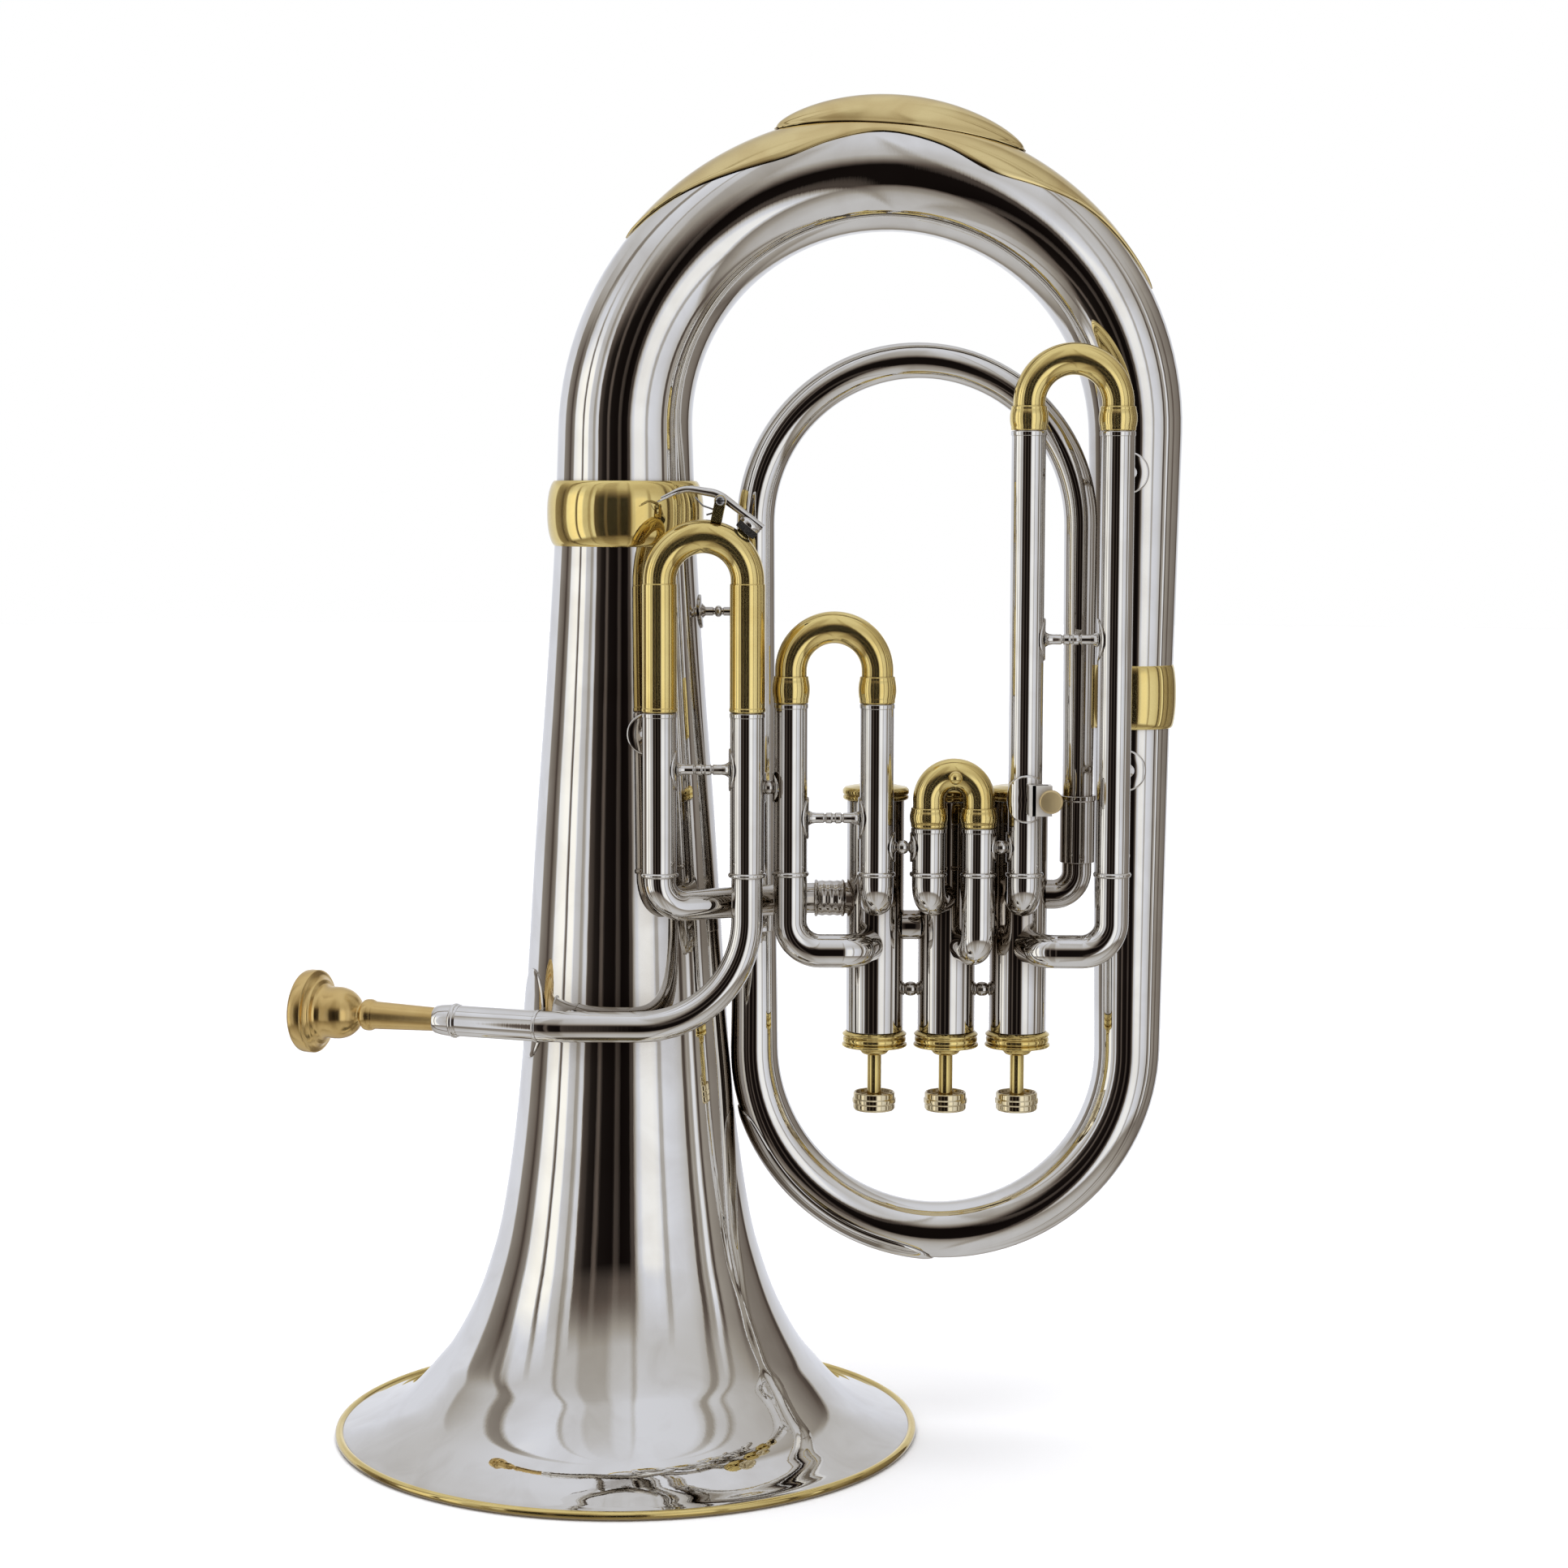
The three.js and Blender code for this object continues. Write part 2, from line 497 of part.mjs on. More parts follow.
// An oval plate that lies round the bell stem, and a post from it to the leadpipe.
function leadpipeBrace(leadpipeRoom) {
  const { turn, tall, wide, thick, run } = LEAD_PLATE;
  const [low, high] = [LEAD_Z - tall / 2 - 1, LEAD_Z + tall / 2 + 1];
  const foot = (z) => stemRadius(z) + GAP;
  const sheath = solid(turned([[foot(low), low], [foot(low) + thick, low], [foot(high) + thick, high],
    [foot(high), high]], SIDES.fine));
  const bellRoom = solid(turned([[0, low], [foot(low), low], [foot(high), high], [0, high]], SIDES.fine));
  const way = new THREE.Vector3(-Math.cos(turn), -Math.sin(turn), 0);
  const oval = aimed(disc(1, 20, 80, 20).scale(tall / 2, wide / 2, 1), new THREE.Vector3(0, 0, LEAD_Z), way);
  const start = way.clone().multiplyScalar(stemRadius(LEAD_Z) - 1).setZ(LEAD_Z);
  const post = solid(rod(start.toArray(), alongLead(run).toArray(), 3)).subtract(bellRoom);
  return geometryOf(sheath.intersect(solid(oval)).add(post).subtract(solid(leadpipeRoom)));
}

function mouthpiece() {
  const outside = [[13.6, 0], [17.6, 0], [19.6, 1.8], [19.6, 7.2], [15.4, 9], [12.4, 12.6],
    [12, 19.5], [9.6, 25.3], [4.6, 30], [7.3, 33], [6.8, 37], [5.2, 83]];
  const cup = [[4.3, 83], [3, 30], [5.2, 24], [9.8, 17], [12, 2]];
  const along = turned([...outside, ...cup], 18);
  place('mouthpiece', aimed(along, alongLead(MOUTHPIECE_RUN), towardsPlayer.clone().negate()), satinBrass());
}

// ---- Water key ----------------------------------------------------------------------------
const BOW_TOP = { x: 38.3, z: 411, r: 20.5 + TUBE_R };  // outside of the main slide bow

function waterKey() {
  const { x, z } = KEY;
  const ears = [-4.1, 4.1].map((y) => box([5, 1.6, 12], [x, MAIN_Y + y, z - 3]));
  const base = box([5, 9.8, 3.4], [x, MAIN_Y, z - 9.5]);
  const pin = rod([x, MAIN_Y - 9, z], [x, MAIN_Y + 9, z], 1.5);
  const bow = pipe([[17.8, MAIN_Y, 380], [17.8, MAIN_Y, 431.4, 20.5], [58.8, MAIN_Y, 431.4, 20.5],
    [58.8, MAIN_Y, 380]], TUBE_R - 0.1 + GAP, 3);
  place('water_key_saddle', cut(joined(base, ...ears), pin, bow), brass());
  const screw = joined(rod([x, MAIN_Y - 5.5, z], [x, MAIN_Y + 5.8, z], 1.1),
    rod([x, MAIN_Y - 6.7, z], [x, MAIN_Y - 5.3, z], 2.2));
  place('water_key_screw', screw, steel());
  const arm = bentTube(route([[19, MAIN_Y, 448.6], [30, MAIN_Y, 453.2, 14], [45, MAIN_Y, 450.6, 14],
    [65.5, MAIN_Y, 434.8]]), even(1.7), null, SIDES.rod);
  const hub = rod([x, MAIN_Y - 2.9, z], [x, MAIN_Y + 2.9, z], 3.2);
  const paddle = disc(4.2, 0, 1.6).scale(1.3, 1, 1).rotateY(-0.45).translate(20.5, MAIN_Y, 448);
  const outwardTurn = new THREE.Vector3(Math.sin(0.7), 0, Math.cos(0.7));
  const cup = aimed(disc(5.3, 5.2, 7.5), padSpot(0), outwardTurn);
  place('water_key_lever', cut(joined(arm, hub, paddle, cup), pin.clone()), nickel());
  place('water_key_cork', aimed(disc(5, 1, 4.9), padSpot(0), outwardTurn), cork());
}

function padSpot(lift) {
  const reach = BOW_TOP.r + lift;
  return new THREE.Vector3(BOW_TOP.x + reach * Math.sin(0.7), MAIN_Y, BOW_TOP.z + reach * Math.cos(0.7));
}

// ---- Braces and lyre holder ---------------------------------------------------------------
// A round flange on one tube and a post that reaches a second, measured out from the first one's axis.
function flangedPost(name, axisPoint, outward, near, far, flange) {
  const shape = joined(disc(flange, near, near + 1.3, 12), disc(2.6, near + 0.5, far));
  place(name, aimed(shape, new THREE.Vector3(...axisPoint), new THREE.Vector3(...outward)), nickel());
}

function braces() {
  flangedPost('bell_loop_brace', [0, 0, 395.2], [1, 0, 0], stemRadius(387) + GAP, LOWER_LEFT_X - 9.9, 8);
  flangedPost('bell_slide_brace', [0, 0, 339.8], [17.8, MAIN_Y, 0], stemRadius(330) + GAP, 50.5, 9.8);
  flangedPost('upper_branch_brace', [BOW_RIGHT_X, 0, 461], [227 - BOW_RIGHT_X, SLIDE_Y, 0], 22.2, 43.4, 9.8);
  flangedPost('lower_branch_brace', [BOW_RIGHT_X, 0, 321.7], [227 - BOW_RIGHT_X, SLIDE_Y, 0], 18.4, 43, 9.8);
}

// A square socket on the third slide's tube, with a thumb screw that clamps the lyre's stem.
function lyreHolder() {
  const [x, z, back] = [194.2, 312, SLIDE_Y - TUBE_R - GAP];
  const block = box([13, 8.2, 14], [x, back - 4.1, z]);
  const plate = disc(11, 0, 1.3, 14).rotateX(Math.PI / 2).translate(186.5, back, z);
  const socket = box([5.4, 5, 20], [x + 2.2, back - 4.4, z]);
  const thread = rod([x + 2.2, back - 20, z], [x + 2.2, back - 6.5, z], 2.1, 8);
  place('lyre_socket', cut(joined(block, plate), socket, thread), nickel());
  const screw = joined(rod([x + 2.2, back - 10, z], [x + 2.2, back - 7.2, z], 1.6, 8),
    rod([x + 2.2, back - 13.2, z], [x + 2.2, back - 9.4, z], 5.5, 16));
  place('lyre_screw', screw, brass());
}

bell();
topBow();
lowerBow();
innerLoop();
VALVE_X.forEach((_, index) => valve(index));
crossovers();
outletElbow();
slideOne();
slideTwo();
slideThree();
mainSlide();
leadpipe();
mouthpiece();
waterKey();
braces();
lyreHolder();

const extent = new THREE.Box3().setFromObject(horn);
const middle = extent.getCenter(new THREE.Vector3());
horn.position.set(-middle.x, -middle.y, -extent.min.z);
horn.updateMatrixWorld(true);

export default horn;
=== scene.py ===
"""Looks for the three-valve euphonium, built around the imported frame. Metres, +Z up.

Shapes are laid out in millimetres in the row frame and scaled by MM when a mesh is made.
Places come from the boxes of the CAD nodes. Profiles and walls are given in millimetres.
"""
import math

import bmesh
import bpy
import numpy as np
from mathutils import Matrix, Vector


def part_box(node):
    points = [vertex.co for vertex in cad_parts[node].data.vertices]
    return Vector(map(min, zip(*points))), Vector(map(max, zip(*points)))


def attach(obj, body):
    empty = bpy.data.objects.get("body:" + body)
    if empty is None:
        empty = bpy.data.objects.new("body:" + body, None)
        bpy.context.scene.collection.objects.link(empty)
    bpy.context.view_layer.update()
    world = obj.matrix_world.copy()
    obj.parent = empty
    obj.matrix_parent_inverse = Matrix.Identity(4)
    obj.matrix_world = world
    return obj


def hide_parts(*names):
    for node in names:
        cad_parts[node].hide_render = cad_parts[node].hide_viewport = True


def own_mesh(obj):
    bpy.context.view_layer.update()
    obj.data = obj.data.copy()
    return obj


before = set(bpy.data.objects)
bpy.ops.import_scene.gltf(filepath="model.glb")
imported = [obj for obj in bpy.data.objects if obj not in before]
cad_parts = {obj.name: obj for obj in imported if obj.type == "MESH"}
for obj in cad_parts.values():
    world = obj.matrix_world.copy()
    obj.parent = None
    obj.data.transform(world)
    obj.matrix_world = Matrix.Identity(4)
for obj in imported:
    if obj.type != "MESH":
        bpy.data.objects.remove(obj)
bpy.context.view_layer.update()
MM = 0.001


class Box:
    """A CAD node's box in millimetres."""

    def __init__(self, node):
        low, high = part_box(node)
        self.lo = np.array(low) / MM
        self.hi = np.array(high) / MM
        self.mid = (self.lo + self.hi) / 2
        self.size = self.hi - self.lo


# ---- Mesh helpers -------------------------------------------------------------------------
def vec(*values):
    return np.array(values, float)


def unit(v):
    return v / np.linalg.norm(v)


def route(corners, step=3.0):
    """Stations along straight runs with rounded corners, each corner (x, y, z) or (x, y, z, bend radius)."""
    spots = [np.array(c[:3], float) for c in corners]
    places, headings = [], []
    for i, spot in enumerate(spots):
        after = unit(spots[i + 1] - spot) if i < len(spots) - 1 else None
        before = unit(spot - spots[i - 1]) if i else after
        radius = corners[i][3] if len(corners[i]) > 3 else 0
        if not radius or after is None or i == 0:
            places.append(spot)
            headings.append(before if after is None else after)
            continue
        bend = math.acos(float(np.clip(before @ after, -1, 1)))
        reach = radius * math.tan(bend / 2)
        side = unit(after - before * (after @ before))
        centre = spot - before * reach + side * radius
        count = max(2, math.ceil(math.degrees(bend) / step))
        for k in range(count + 1):
            angle = bend * k / count
            at = centre - side * radius * math.cos(angle) + before * radius * math.sin(angle)
            if k == 0 and np.linalg.norm(places[-1] - at) < 0.2:
                continue
            places.append(at)
            headings.append(before * math.cos(angle) + side * math.sin(angle))
    return np.array(places), np.array(headings)


def shares(places):
    runs = np.r_[0, np.cumsum(np.linalg.norm(np.diff(places, axis=0), axis=1))]
    return runs / runs[-1]


def frames(headings):
    across = vec(1, 0, 0) if abs(headings[0][1]) > 0.9 else vec(0, 1, 0)
    first, second = [], []
    for heading in headings:
        across = unit(across - heading * (across @ heading))
        first.append(across)
        second.append(np.cross(across, heading))
    return np.array(first), np.array(second)


def rings_mesh(rings, closed):
    """Faces between rings of equal length. Closed joins the last ring to the first, else caps both ends."""
    count, sides = len(rings), len(rings[0])
    points = [tuple(p) for ring in rings for p in ring]
    faces = []
    for i in range(count if closed else count - 1):
        a, b = i * sides, ((i + 1) % count) * sides
        faces += [(a + k, a + (k + 1) % sides, b + (k + 1) % sides, b + k) for k in range(sides)]
    if not closed:
        faces.append(tuple(range(sides))[::-1])
        faces.append(tuple((count - 1) * sides + k for k in range(sides)))
    return points, faces


def value_at(radius, place):
    """A radius that is a plain number, or a function of the place along."""
    return radius(place) if callable(radius) else radius


def sweep(path, outer, bore=None, sides=48):
    """A tube along a route. outer and bore are radii, or functions of the share of the way along."""
    places, headings = path
    share = shares(places)
    first, second = frames(headings)
    turn = np.linspace(0, 2 * math.pi, sides, endpoint=False)

    def ring(i, radius):
        r = value_at(radius, share[i])
        return places[i] + r * (np.cos(turn)[:, None] * first[i] + np.sin(turn)[:, None] * second[i])

    rings = [ring(i, outer) for i in range(len(places))]
    if bore is not None:
        rings += [ring(i, bore) for i in reversed(range(len(places)))]
    return rings_mesh(rings, closed=bore is not None)


def basis(axis):
    axis = unit(np.array(axis, float))
    across = vec(0, 1, 0) if abs(axis[1]) < 0.9 else vec(1, 0, 0)
    across = unit(across - axis * (across @ axis))
    return across, np.cross(axis, across), axis


def lathe(outline, origin=(0, 0, 0), axis=(0, 0, 1), sides=64, closed=False):
    """A turned piece: outline points are (radius, height along the axis)."""
    u, v, w = basis(axis)
    turn = np.linspace(0, 2 * math.pi, sides, endpoint=False)
    rings = []
    for radius, height in outline:
        radius = max(radius, 0.01)
        rings.append(np.array(origin) + w * height
            + radius * (np.cos(turn)[:, None] * u + np.sin(turn)[:, None] * v))
    return rings_mesh(rings, closed)


def rounded(outline, radius, closed=False):
    """The outline with each corner rounded by up to the given radius."""
    steps = 4
    points = [vec(*p) for p in outline]
    count = len(points)
    result = []
    for i, point in enumerate(points):
        if not closed and i in (0, count - 1):
            result.append(tuple(point))
            continue
        a, b = points[i - 1] - point, points[(i + 1) % count] - point
        reach = min(radius, np.linalg.norm(a) * 0.45, np.linalg.norm(b) * 0.45)
        start, end = point + unit(a) * reach, point + unit(b) * reach
        for k in range(steps + 1):
            t = k / steps
            result.append(tuple((1 - t) ** 2 * start + 2 * t * (1 - t) * point + t ** 2 * end))
    return result


def turned(outline, corner, origin=(0, 0, 0), axis=(0, 0, 1), sides=64):
    """A hollow turned piece whose closed outline has rounded corners."""
    return lathe(rounded(outline, corner, closed=True), origin, axis, sides, closed=True)


def smooth_curve(points, per_span):
    """A Catmull-Rom line through 2-D points."""
    p = [np.array(q, float) for q in points]
    p = [2 * p[0] - p[1]] + p + [2 * p[-1] - p[-2]]
    line = []
    for i in range(1, len(p) - 2):
        for k in range(per_span):
            t = k / per_span
            line.append(tuple(0.5 * (2 * p[i] + (p[i + 1] - p[i - 1]) * t
                + (2 * p[i - 1] - 5 * p[i] + 4 * p[i + 1] - p[i + 2]) * t ** 2
                + (3 * p[i] - p[i - 1] - 3 * p[i + 1] + p[i + 2]) * t ** 3)))
    line.append(tuple(p[-2]))
    return line


def merged(*meshes):
    """Several point-and-face lists as one."""
    points, faces = [], []
    for some_points, some_faces in meshes:
        start = len(points)
        points += some_points
        faces += [tuple(k + start for k in face) for face in some_faces]
    return points, faces


def mesh_of(name, shape):
    """A mesh in metres from a point-and-face list in millimetres, with its faces turned outwards."""
    points, faces = shape
    mesh = bpy.data.meshes.new(name)
    mesh.from_pydata([tuple(float(c) * MM for c in p) for p in points], [], faces)
    work = bmesh.new()
    work.from_mesh(mesh)
    bmesh.ops.recalc_face_normals(work, faces=work.faces)
    work.to_mesh(mesh)
    work.free()
    return mesh


def added(name, data):
    """A new object, put in the scene."""
    thing = bpy.data.objects.new(name, data)
    bpy.context.scene.collection.objects.link(thing)
    return thing


def make(name, shape, material, body, *nodes, crease=40):
    """Turns a point-and-face list into a piece that rides on a body and stands for the given CAD nodes."""
    mesh = mesh_of(name, shape)
    mesh.polygons.foreach_set("use_smooth", [True] * len(mesh.polygons))
    mesh.set_sharp_from_angle(angle=math.radians(crease))
    mesh.materials.append(material)
    piece = added(name, mesh)
    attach(piece, body)
    if nodes:
        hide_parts(*nodes)
    return piece


def nickel(name, shape, *nodes, crease=40):
    """A plated piece that is fixed to the horn."""
    return make(name, shape, NICKEL, "horn", *nodes, crease=crease)


# ---- Materials ----------------------------------------------------------------------------
def new_material(name, slot):
    material = bpy.data.materials.new(name)
    material.use_nodes = True
    material["slot"] = slot
    tree = material.node_tree
    shader = tree.nodes["Principled BSDF"]
    return material, tree, shader


def add_node(tree, kind, **values):
    node = tree.nodes.new(kind)
    for key, value in values.items():
        if key in node.inputs:
            node.inputs[key].default_value = value
        else:
            setattr(node, key, value)
    return node


def noise(tree, scale, detail=3.0, stretch=(1, 1, 1), distortion=0.0):
    coordinate = add_node(tree, "ShaderNodeTexCoord")
    mapping = add_node(tree, "ShaderNodeMapping", Scale=stretch)
    texture = add_node(tree, "ShaderNodeTexNoise", Scale=scale, Detail=detail, Distortion=distortion)
    tree.links.new(coordinate.outputs["Object"], mapping.inputs["Vector"])
    tree.links.new(mapping.outputs["Vector"], texture.inputs["Vector"])
    return texture.outputs["Fac"]


def spread(tree, value, low, high, out_low, out_high):
    node = add_node(tree, "ShaderNodeMapRange")
    tree.links.new(value, node.inputs["Value"])
    for key, number in zip(("From Min", "From Max", "To Min", "To Max"), (low, high, out_low, out_high)):
        node.inputs[key].default_value = number
    return node.outputs["Result"]


def two_tints(tree, factor, first, second):
    mix = add_node(tree, "ShaderNodeMix", data_type="RGBA")
    tree.links.new(factor, mix.inputs["Factor"])
    mix.inputs[6].default_value = (*first, 1)
    mix.inputs[7].default_value = (*second, 1)
    return mix.outputs[2]


def add_bumps(tree, shader, *layers):
    """Layers of (height, depth in metres), each on top of the last."""
    normal = None
    for height, depth in layers:
        bump = add_node(tree, "ShaderNodeBump", Strength=1.0, Distance=depth)
        tree.links.new(height, bump.inputs["Height"])
        if normal:
            tree.links.new(normal, bump.inputs["Normal"])
        normal = bump.outputs["Normal"]
    tree.links.new(normal, shader.inputs["Normal"])


def plated(name, slot, clean, dull, smooth, rough, ripple=0.00009, metallic=1.0):
    """Polished metal: hand-worked ripples, hairline scratches, patches where the shine is dulled, and
    painted shade that darkens the colour in corners and between parts.
    """
    scratch = 0.0000035
    material, tree, shader = new_material(name, slot)
    shader.inputs["Metallic"].default_value = metallic
    patches = noise(tree, 38, 5, distortion=0.6)
    dulled = spread(tree, patches, 0.42, 0.74, 0, 1)
    # Painted shade: ambient occlusion pulls the base colour towards a warm dark brown in corners, crevices
    # and between neighbouring parts.
    corners = add_node(tree, "ShaderNodeAmbientOcclusion", samples=8, Distance=0.035, Color=(1, 1, 1, 1))
    painted_corner_shade = add_node(tree, "ShaderNodeMix", data_type="RGBA")
    tree.links.new(spread(tree, corners.outputs["AO"], 0.25, 0.9, 1, 0), painted_corner_shade.inputs[0])
    tree.links.new(two_tints(tree, dulled, clean, dull), painted_corner_shade.inputs[6])
    painted_corner_shade.inputs[7].default_value = (clean[0] * 0.36, clean[1] * 0.31, clean[2] * 0.26, 1)
    tree.links.new(painted_corner_shade.outputs[2], shader.inputs["Base Color"])
    smudges = noise(tree, 90, 6)
    tree.links.new(spread(tree, smudges, 0.35, 0.75, smooth, rough), shader.inputs["Roughness"])
    add_bumps(tree, shader, (noise(tree, 26, 1.5), ripple),
        (noise(tree, 900, 2, stretch=(1, 1, 0.06)), scratch))
    return material


def spun(name, slot, clean, dull, smooth, rough, axis_turn=(0, 0, 0)):
    """Satin metal with fine turning lines round its axis."""
    material, tree, shader = new_material(name, slot)
    shader.inputs["Metallic"].default_value = 1.0
    patches = noise(tree, 60, 5)
    tree.links.new(two_tints(tree, spread(tree, patches, 0.4, 0.7, 0, 1), clean, dull),
        shader.inputs["Base Color"])
    coordinate = add_node(tree, "ShaderNodeTexCoord")
    mapping = add_node(tree, "ShaderNodeMapping", Rotation=axis_turn)
    stretch = add_node(tree, "ShaderNodeMapping", Scale=(1, 0.02, 0.02))
    lines = add_node(tree, "ShaderNodeTexNoise", Scale=2600)
    tree.links.new(coordinate.outputs["Object"], mapping.inputs["Vector"])
    tree.links.new(mapping.outputs["Vector"], stretch.inputs["Vector"])
    tree.links.new(stretch.outputs["Vector"], lines.inputs["Vector"])
    tree.links.new(spread(tree, lines.outputs["Fac"], 0.3, 0.7, smooth, rough), shader.inputs["Roughness"])
    add_bumps(tree, shader, (lines.outputs["Fac"], 0.0000015))
    return material


def matt(name, slot, base, other, scale, rough, depth):
    material, tree, shader = new_material(name, slot)
    grain = noise(tree, scale, 8)
    tree.links.new(two_tints(tree, spread(tree, grain, 0.4, 0.65, 0, 1), base, other),
        shader.inputs["Base Color"])
    shader.inputs["Roughness"].default_value = rough
    add_bumps(tree, shader, (grain, depth))
    return material


NICKEL = plated("nickel_plate", "nickel", (0.86, 0.845, 0.81), (0.76, 0.735, 0.69), 0.008, 0.03)
BRASS = plated("polished_brass", "brass", (0.90, 0.72, 0.29), (0.78, 0.59, 0.21), 0.02, 0.06, metallic=0.96)
CAST_NICKEL = plated("cast_nickel", "nickel", (0.84, 0.82, 0.77), (0.74, 0.71, 0.65), 0.26, 0.4, 0.00004,
    metallic=0.35)
PALE_BRASS = plated("pale_brass", "brass", (0.86, 0.75, 0.50), (0.78, 0.64, 0.36), 0.04, 0.12)
SHEET_BRASS = plated("sheet_brass", "brass", (0.84, 0.68, 0.33), (0.70, 0.53, 0.24), 0.06, 0.15, 0.00016)
STEEL = plated("ground_steel", "steel", (0.56, 0.56, 0.57), (0.42, 0.42, 0.43), 0.2, 0.4)
LEAD_ANGLE = math.radians(20)
SATIN = spun("satin_brass", "satin_brass", (0.80, 0.58, 0.24), (0.72, 0.50, 0.19), 0.2, 0.25,
    (0, 0, LEAD_ANGLE))
KNOB_BRASS = spun("knob_brass", "satin_brass", (0.86, 0.69, 0.38), (0.78, 0.60, 0.31), 0.35, 0.5)
CORK = matt("black_cork", "cork", (0.012, 0.011, 0.01), (0.03, 0.026, 0.022), 900, 0.85, 0.0002)

# ---- Driving places from the frame --------------------------------------------------------
bell_box = Box("bell")
AXIS = vec(bell_box.mid[0], bell_box.mid[1], 0)
VALVES = [Box(f"casing_{i}") for i in (1, 2, 3)]
BRANCH_X = Box("branch_ferrule").mid[0]
LOOP_LEFT_X = Box("bottom_bow").lo[0] + 10.4 + 0.9
TUBE_R = 7.8                      # outside of every slide tube
TUBE_BORE = 7.0
LEG_R = 6.6                       # outside of the inner legs
WALL = 0.6                        # wall of the large branches
RING_Z = Box("main_slide_tubes").lo[2] + 1.2   # bead at the lower end of every slide tube
SLIDE_Y = Box("slide_1_bow").mid[1]
LOOP_JOINT_Z = Box("bottom_bow").hi[2] - 107   # where the inner loop meets the bottom bow
GUARD_LIFT = 0.15                 # air between a bow and its guard
SLIDE_LINK_Z = 289                # height of the links between the valve slides


def at(x, y, z):
    """A point given from the bell's axis."""
    return AXIS + vec(x, y, z)


# ---- Bell ---------------------------------------------------------------------------------
STEM_R = 32.8


def bell():
    rim = Box("bell_rim_wire")
    big = rim.size[0] / 2
    top = bell_box.hi[2]
    outside = smooth_curve([(big - 3.8, 2.9), (big - 9, 4.4), (big - 20, 8.6), (big - 34, 16.8), (91.2, 33),
        (83.2, 43.5), (72.8, 63), (65.4, 83), (59.6, 105), (53.8, 142), (49.6, 183),
        (46.9, 222), (42, 300), (37.9, 355), (34.3, 410), (STEM_R, top)], 7)
    inside = [(r - 0.8, z - (1.0 if r > 95 else 0.3)) for r, z in reversed(outside)]
    nickel("bell_body", lathe(outside + inside, AXIS, sides=192, closed=True), "bell", crease=60)
    middle = (big - 2.0, rim.size[2] / 2)
    wire = [(middle[0] + 2.0 * math.cos(a), middle[1] + 1.9 * math.sin(a))
        for a in np.linspace(-math.pi, math.pi, 28, endpoint=False)]
    make("rim_wire", lathe(wire, AXIS, sides=192, closed=True), BRASS, "horn", "bell_rim_wire", crease=80)


def barrel(name, box, ends, middle, bore, *nodes):
    """A ferrule with a swollen middle and a hollow inside."""
    low, high = box.lo[2], box.hi[2]
    half = (high - low) / 2
    swell = [(ends + (middle - ends) * max(0, 1 - abs(t) ** 2.4) ** 0.8, box.mid[2] + t * (half - 0.5))
        for t in np.linspace(-1, 1, 41)]
    outline = [(ends - 0.5, low)] + swell + [(ends - 0.5, high), (bore, high), (bore, low)]
    centre = vec(box.mid[0], box.mid[1], 0)
    make(name, lathe(outline, centre, sides=128, closed=True), BRASS, "horn", *nodes)


# ---- Large branches -----------------------------------------------------------------------
BOW_R = (BRANCH_X - AXIS[0]) / 2
BOW_START = bell_box.hi[2] + 0.3
BOW_END = Box("bottom_bow").hi[2]
CROWN_R = 26.6                    # tube radius at the top of the bow
BOW_Z = Box("top_bow").hi[2] - CROWN_R - BOW_R + 0.5


def bow_radius(share):
    return STEM_R - 13.8 * share ** 0.9


def bow_path(step=3.0):
    crown = BOW_Z + BOW_R
    return route([at(0, 0, BOW_START), (*at(0, 0, crown), BOW_R), (BRANCH_X, AXIS[1], crown, BOW_R),
        (BRANCH_X, AXIS[1], BOW_END)], step)


def arc_of(path, low, high):
    """The stretch of the top bow between two angles from its left leg, with each station's radius."""
    places, headings = path
    share = shares(places)
    turn = np.degrees(np.arctan2(places[:, 2] - BOW_Z, AXIS[0] + BOW_R - places[:, 0]))
    keep = (turn >= low) & (turn <= high) & (places[:, 2] > BOW_Z)
    return places[keep], headings[keep], np.array([bow_radius(s) for s in share[keep]]), turn[keep]


def wrapped_sheet(places, headings, inner, half_angle, thick):
    """A sheet bent round the outside of a bow. half_angle gives how far it wraps at each station."""
    sides = 40
    side = vec(0, 1, 0)
    count = len(places)
    outer_rings, inner_rings = [], []
    for i in range(count):
        out = unit(np.cross(headings[i], side))
        reach = half_angle(i / (count - 1))
        angles = np.linspace(-reach, reach, sides)
        ease = 1 - np.minimum(1, np.minimum(i, count - 1 - i) / 1.5)
        for rings, lift in ((outer_rings, thick * (1 - 0.6 * ease)), (inner_rings, 0.0)):
            radius = inner[i] + lift * np.minimum(1, (reach - np.abs(angles)) / 0.03 + 0.35)
            rings.append(places[i] + radius[:, None] * (np.cos(angles)[:, None] * out
                + np.sin(angles)[:, None] * side))
    points = [tuple(p) for ring in outer_rings + inner_rings for p in ring]
    faces, under = [], count * sides
    for i in range(count - 1):
        for k in range(sides - 1):
            a, b = i * sides + k, (i + 1) * sides + k
            faces.append((a, a + 1, b + 1, b))
            faces.append((under + b, under + b + 1, under + a + 1, under + a))
        for k in (0, sides - 1):
            a, b = i * sides + k, (i + 1) * sides + k
            faces.append((a, b, under + b, under + a))
    for i in (0, count - 1):
        for k in range(sides - 1):
            a = i * sides + k
            faces.append((a, under + a, under + a + 1, a + 1))
    return points, faces


# How far the brass guard wraps each way from the bow's back, in radians, by degrees from the left leg.
GUARD_EDGE = [(36, 0.06), (46, 0.48), (58, 0.88), (70, 1.08), (80, 0.96), (90, 0.84), (101, 0.98),
    (112, 1.2), (122, 1.0), (135, 0.5), (152, 0.08)]


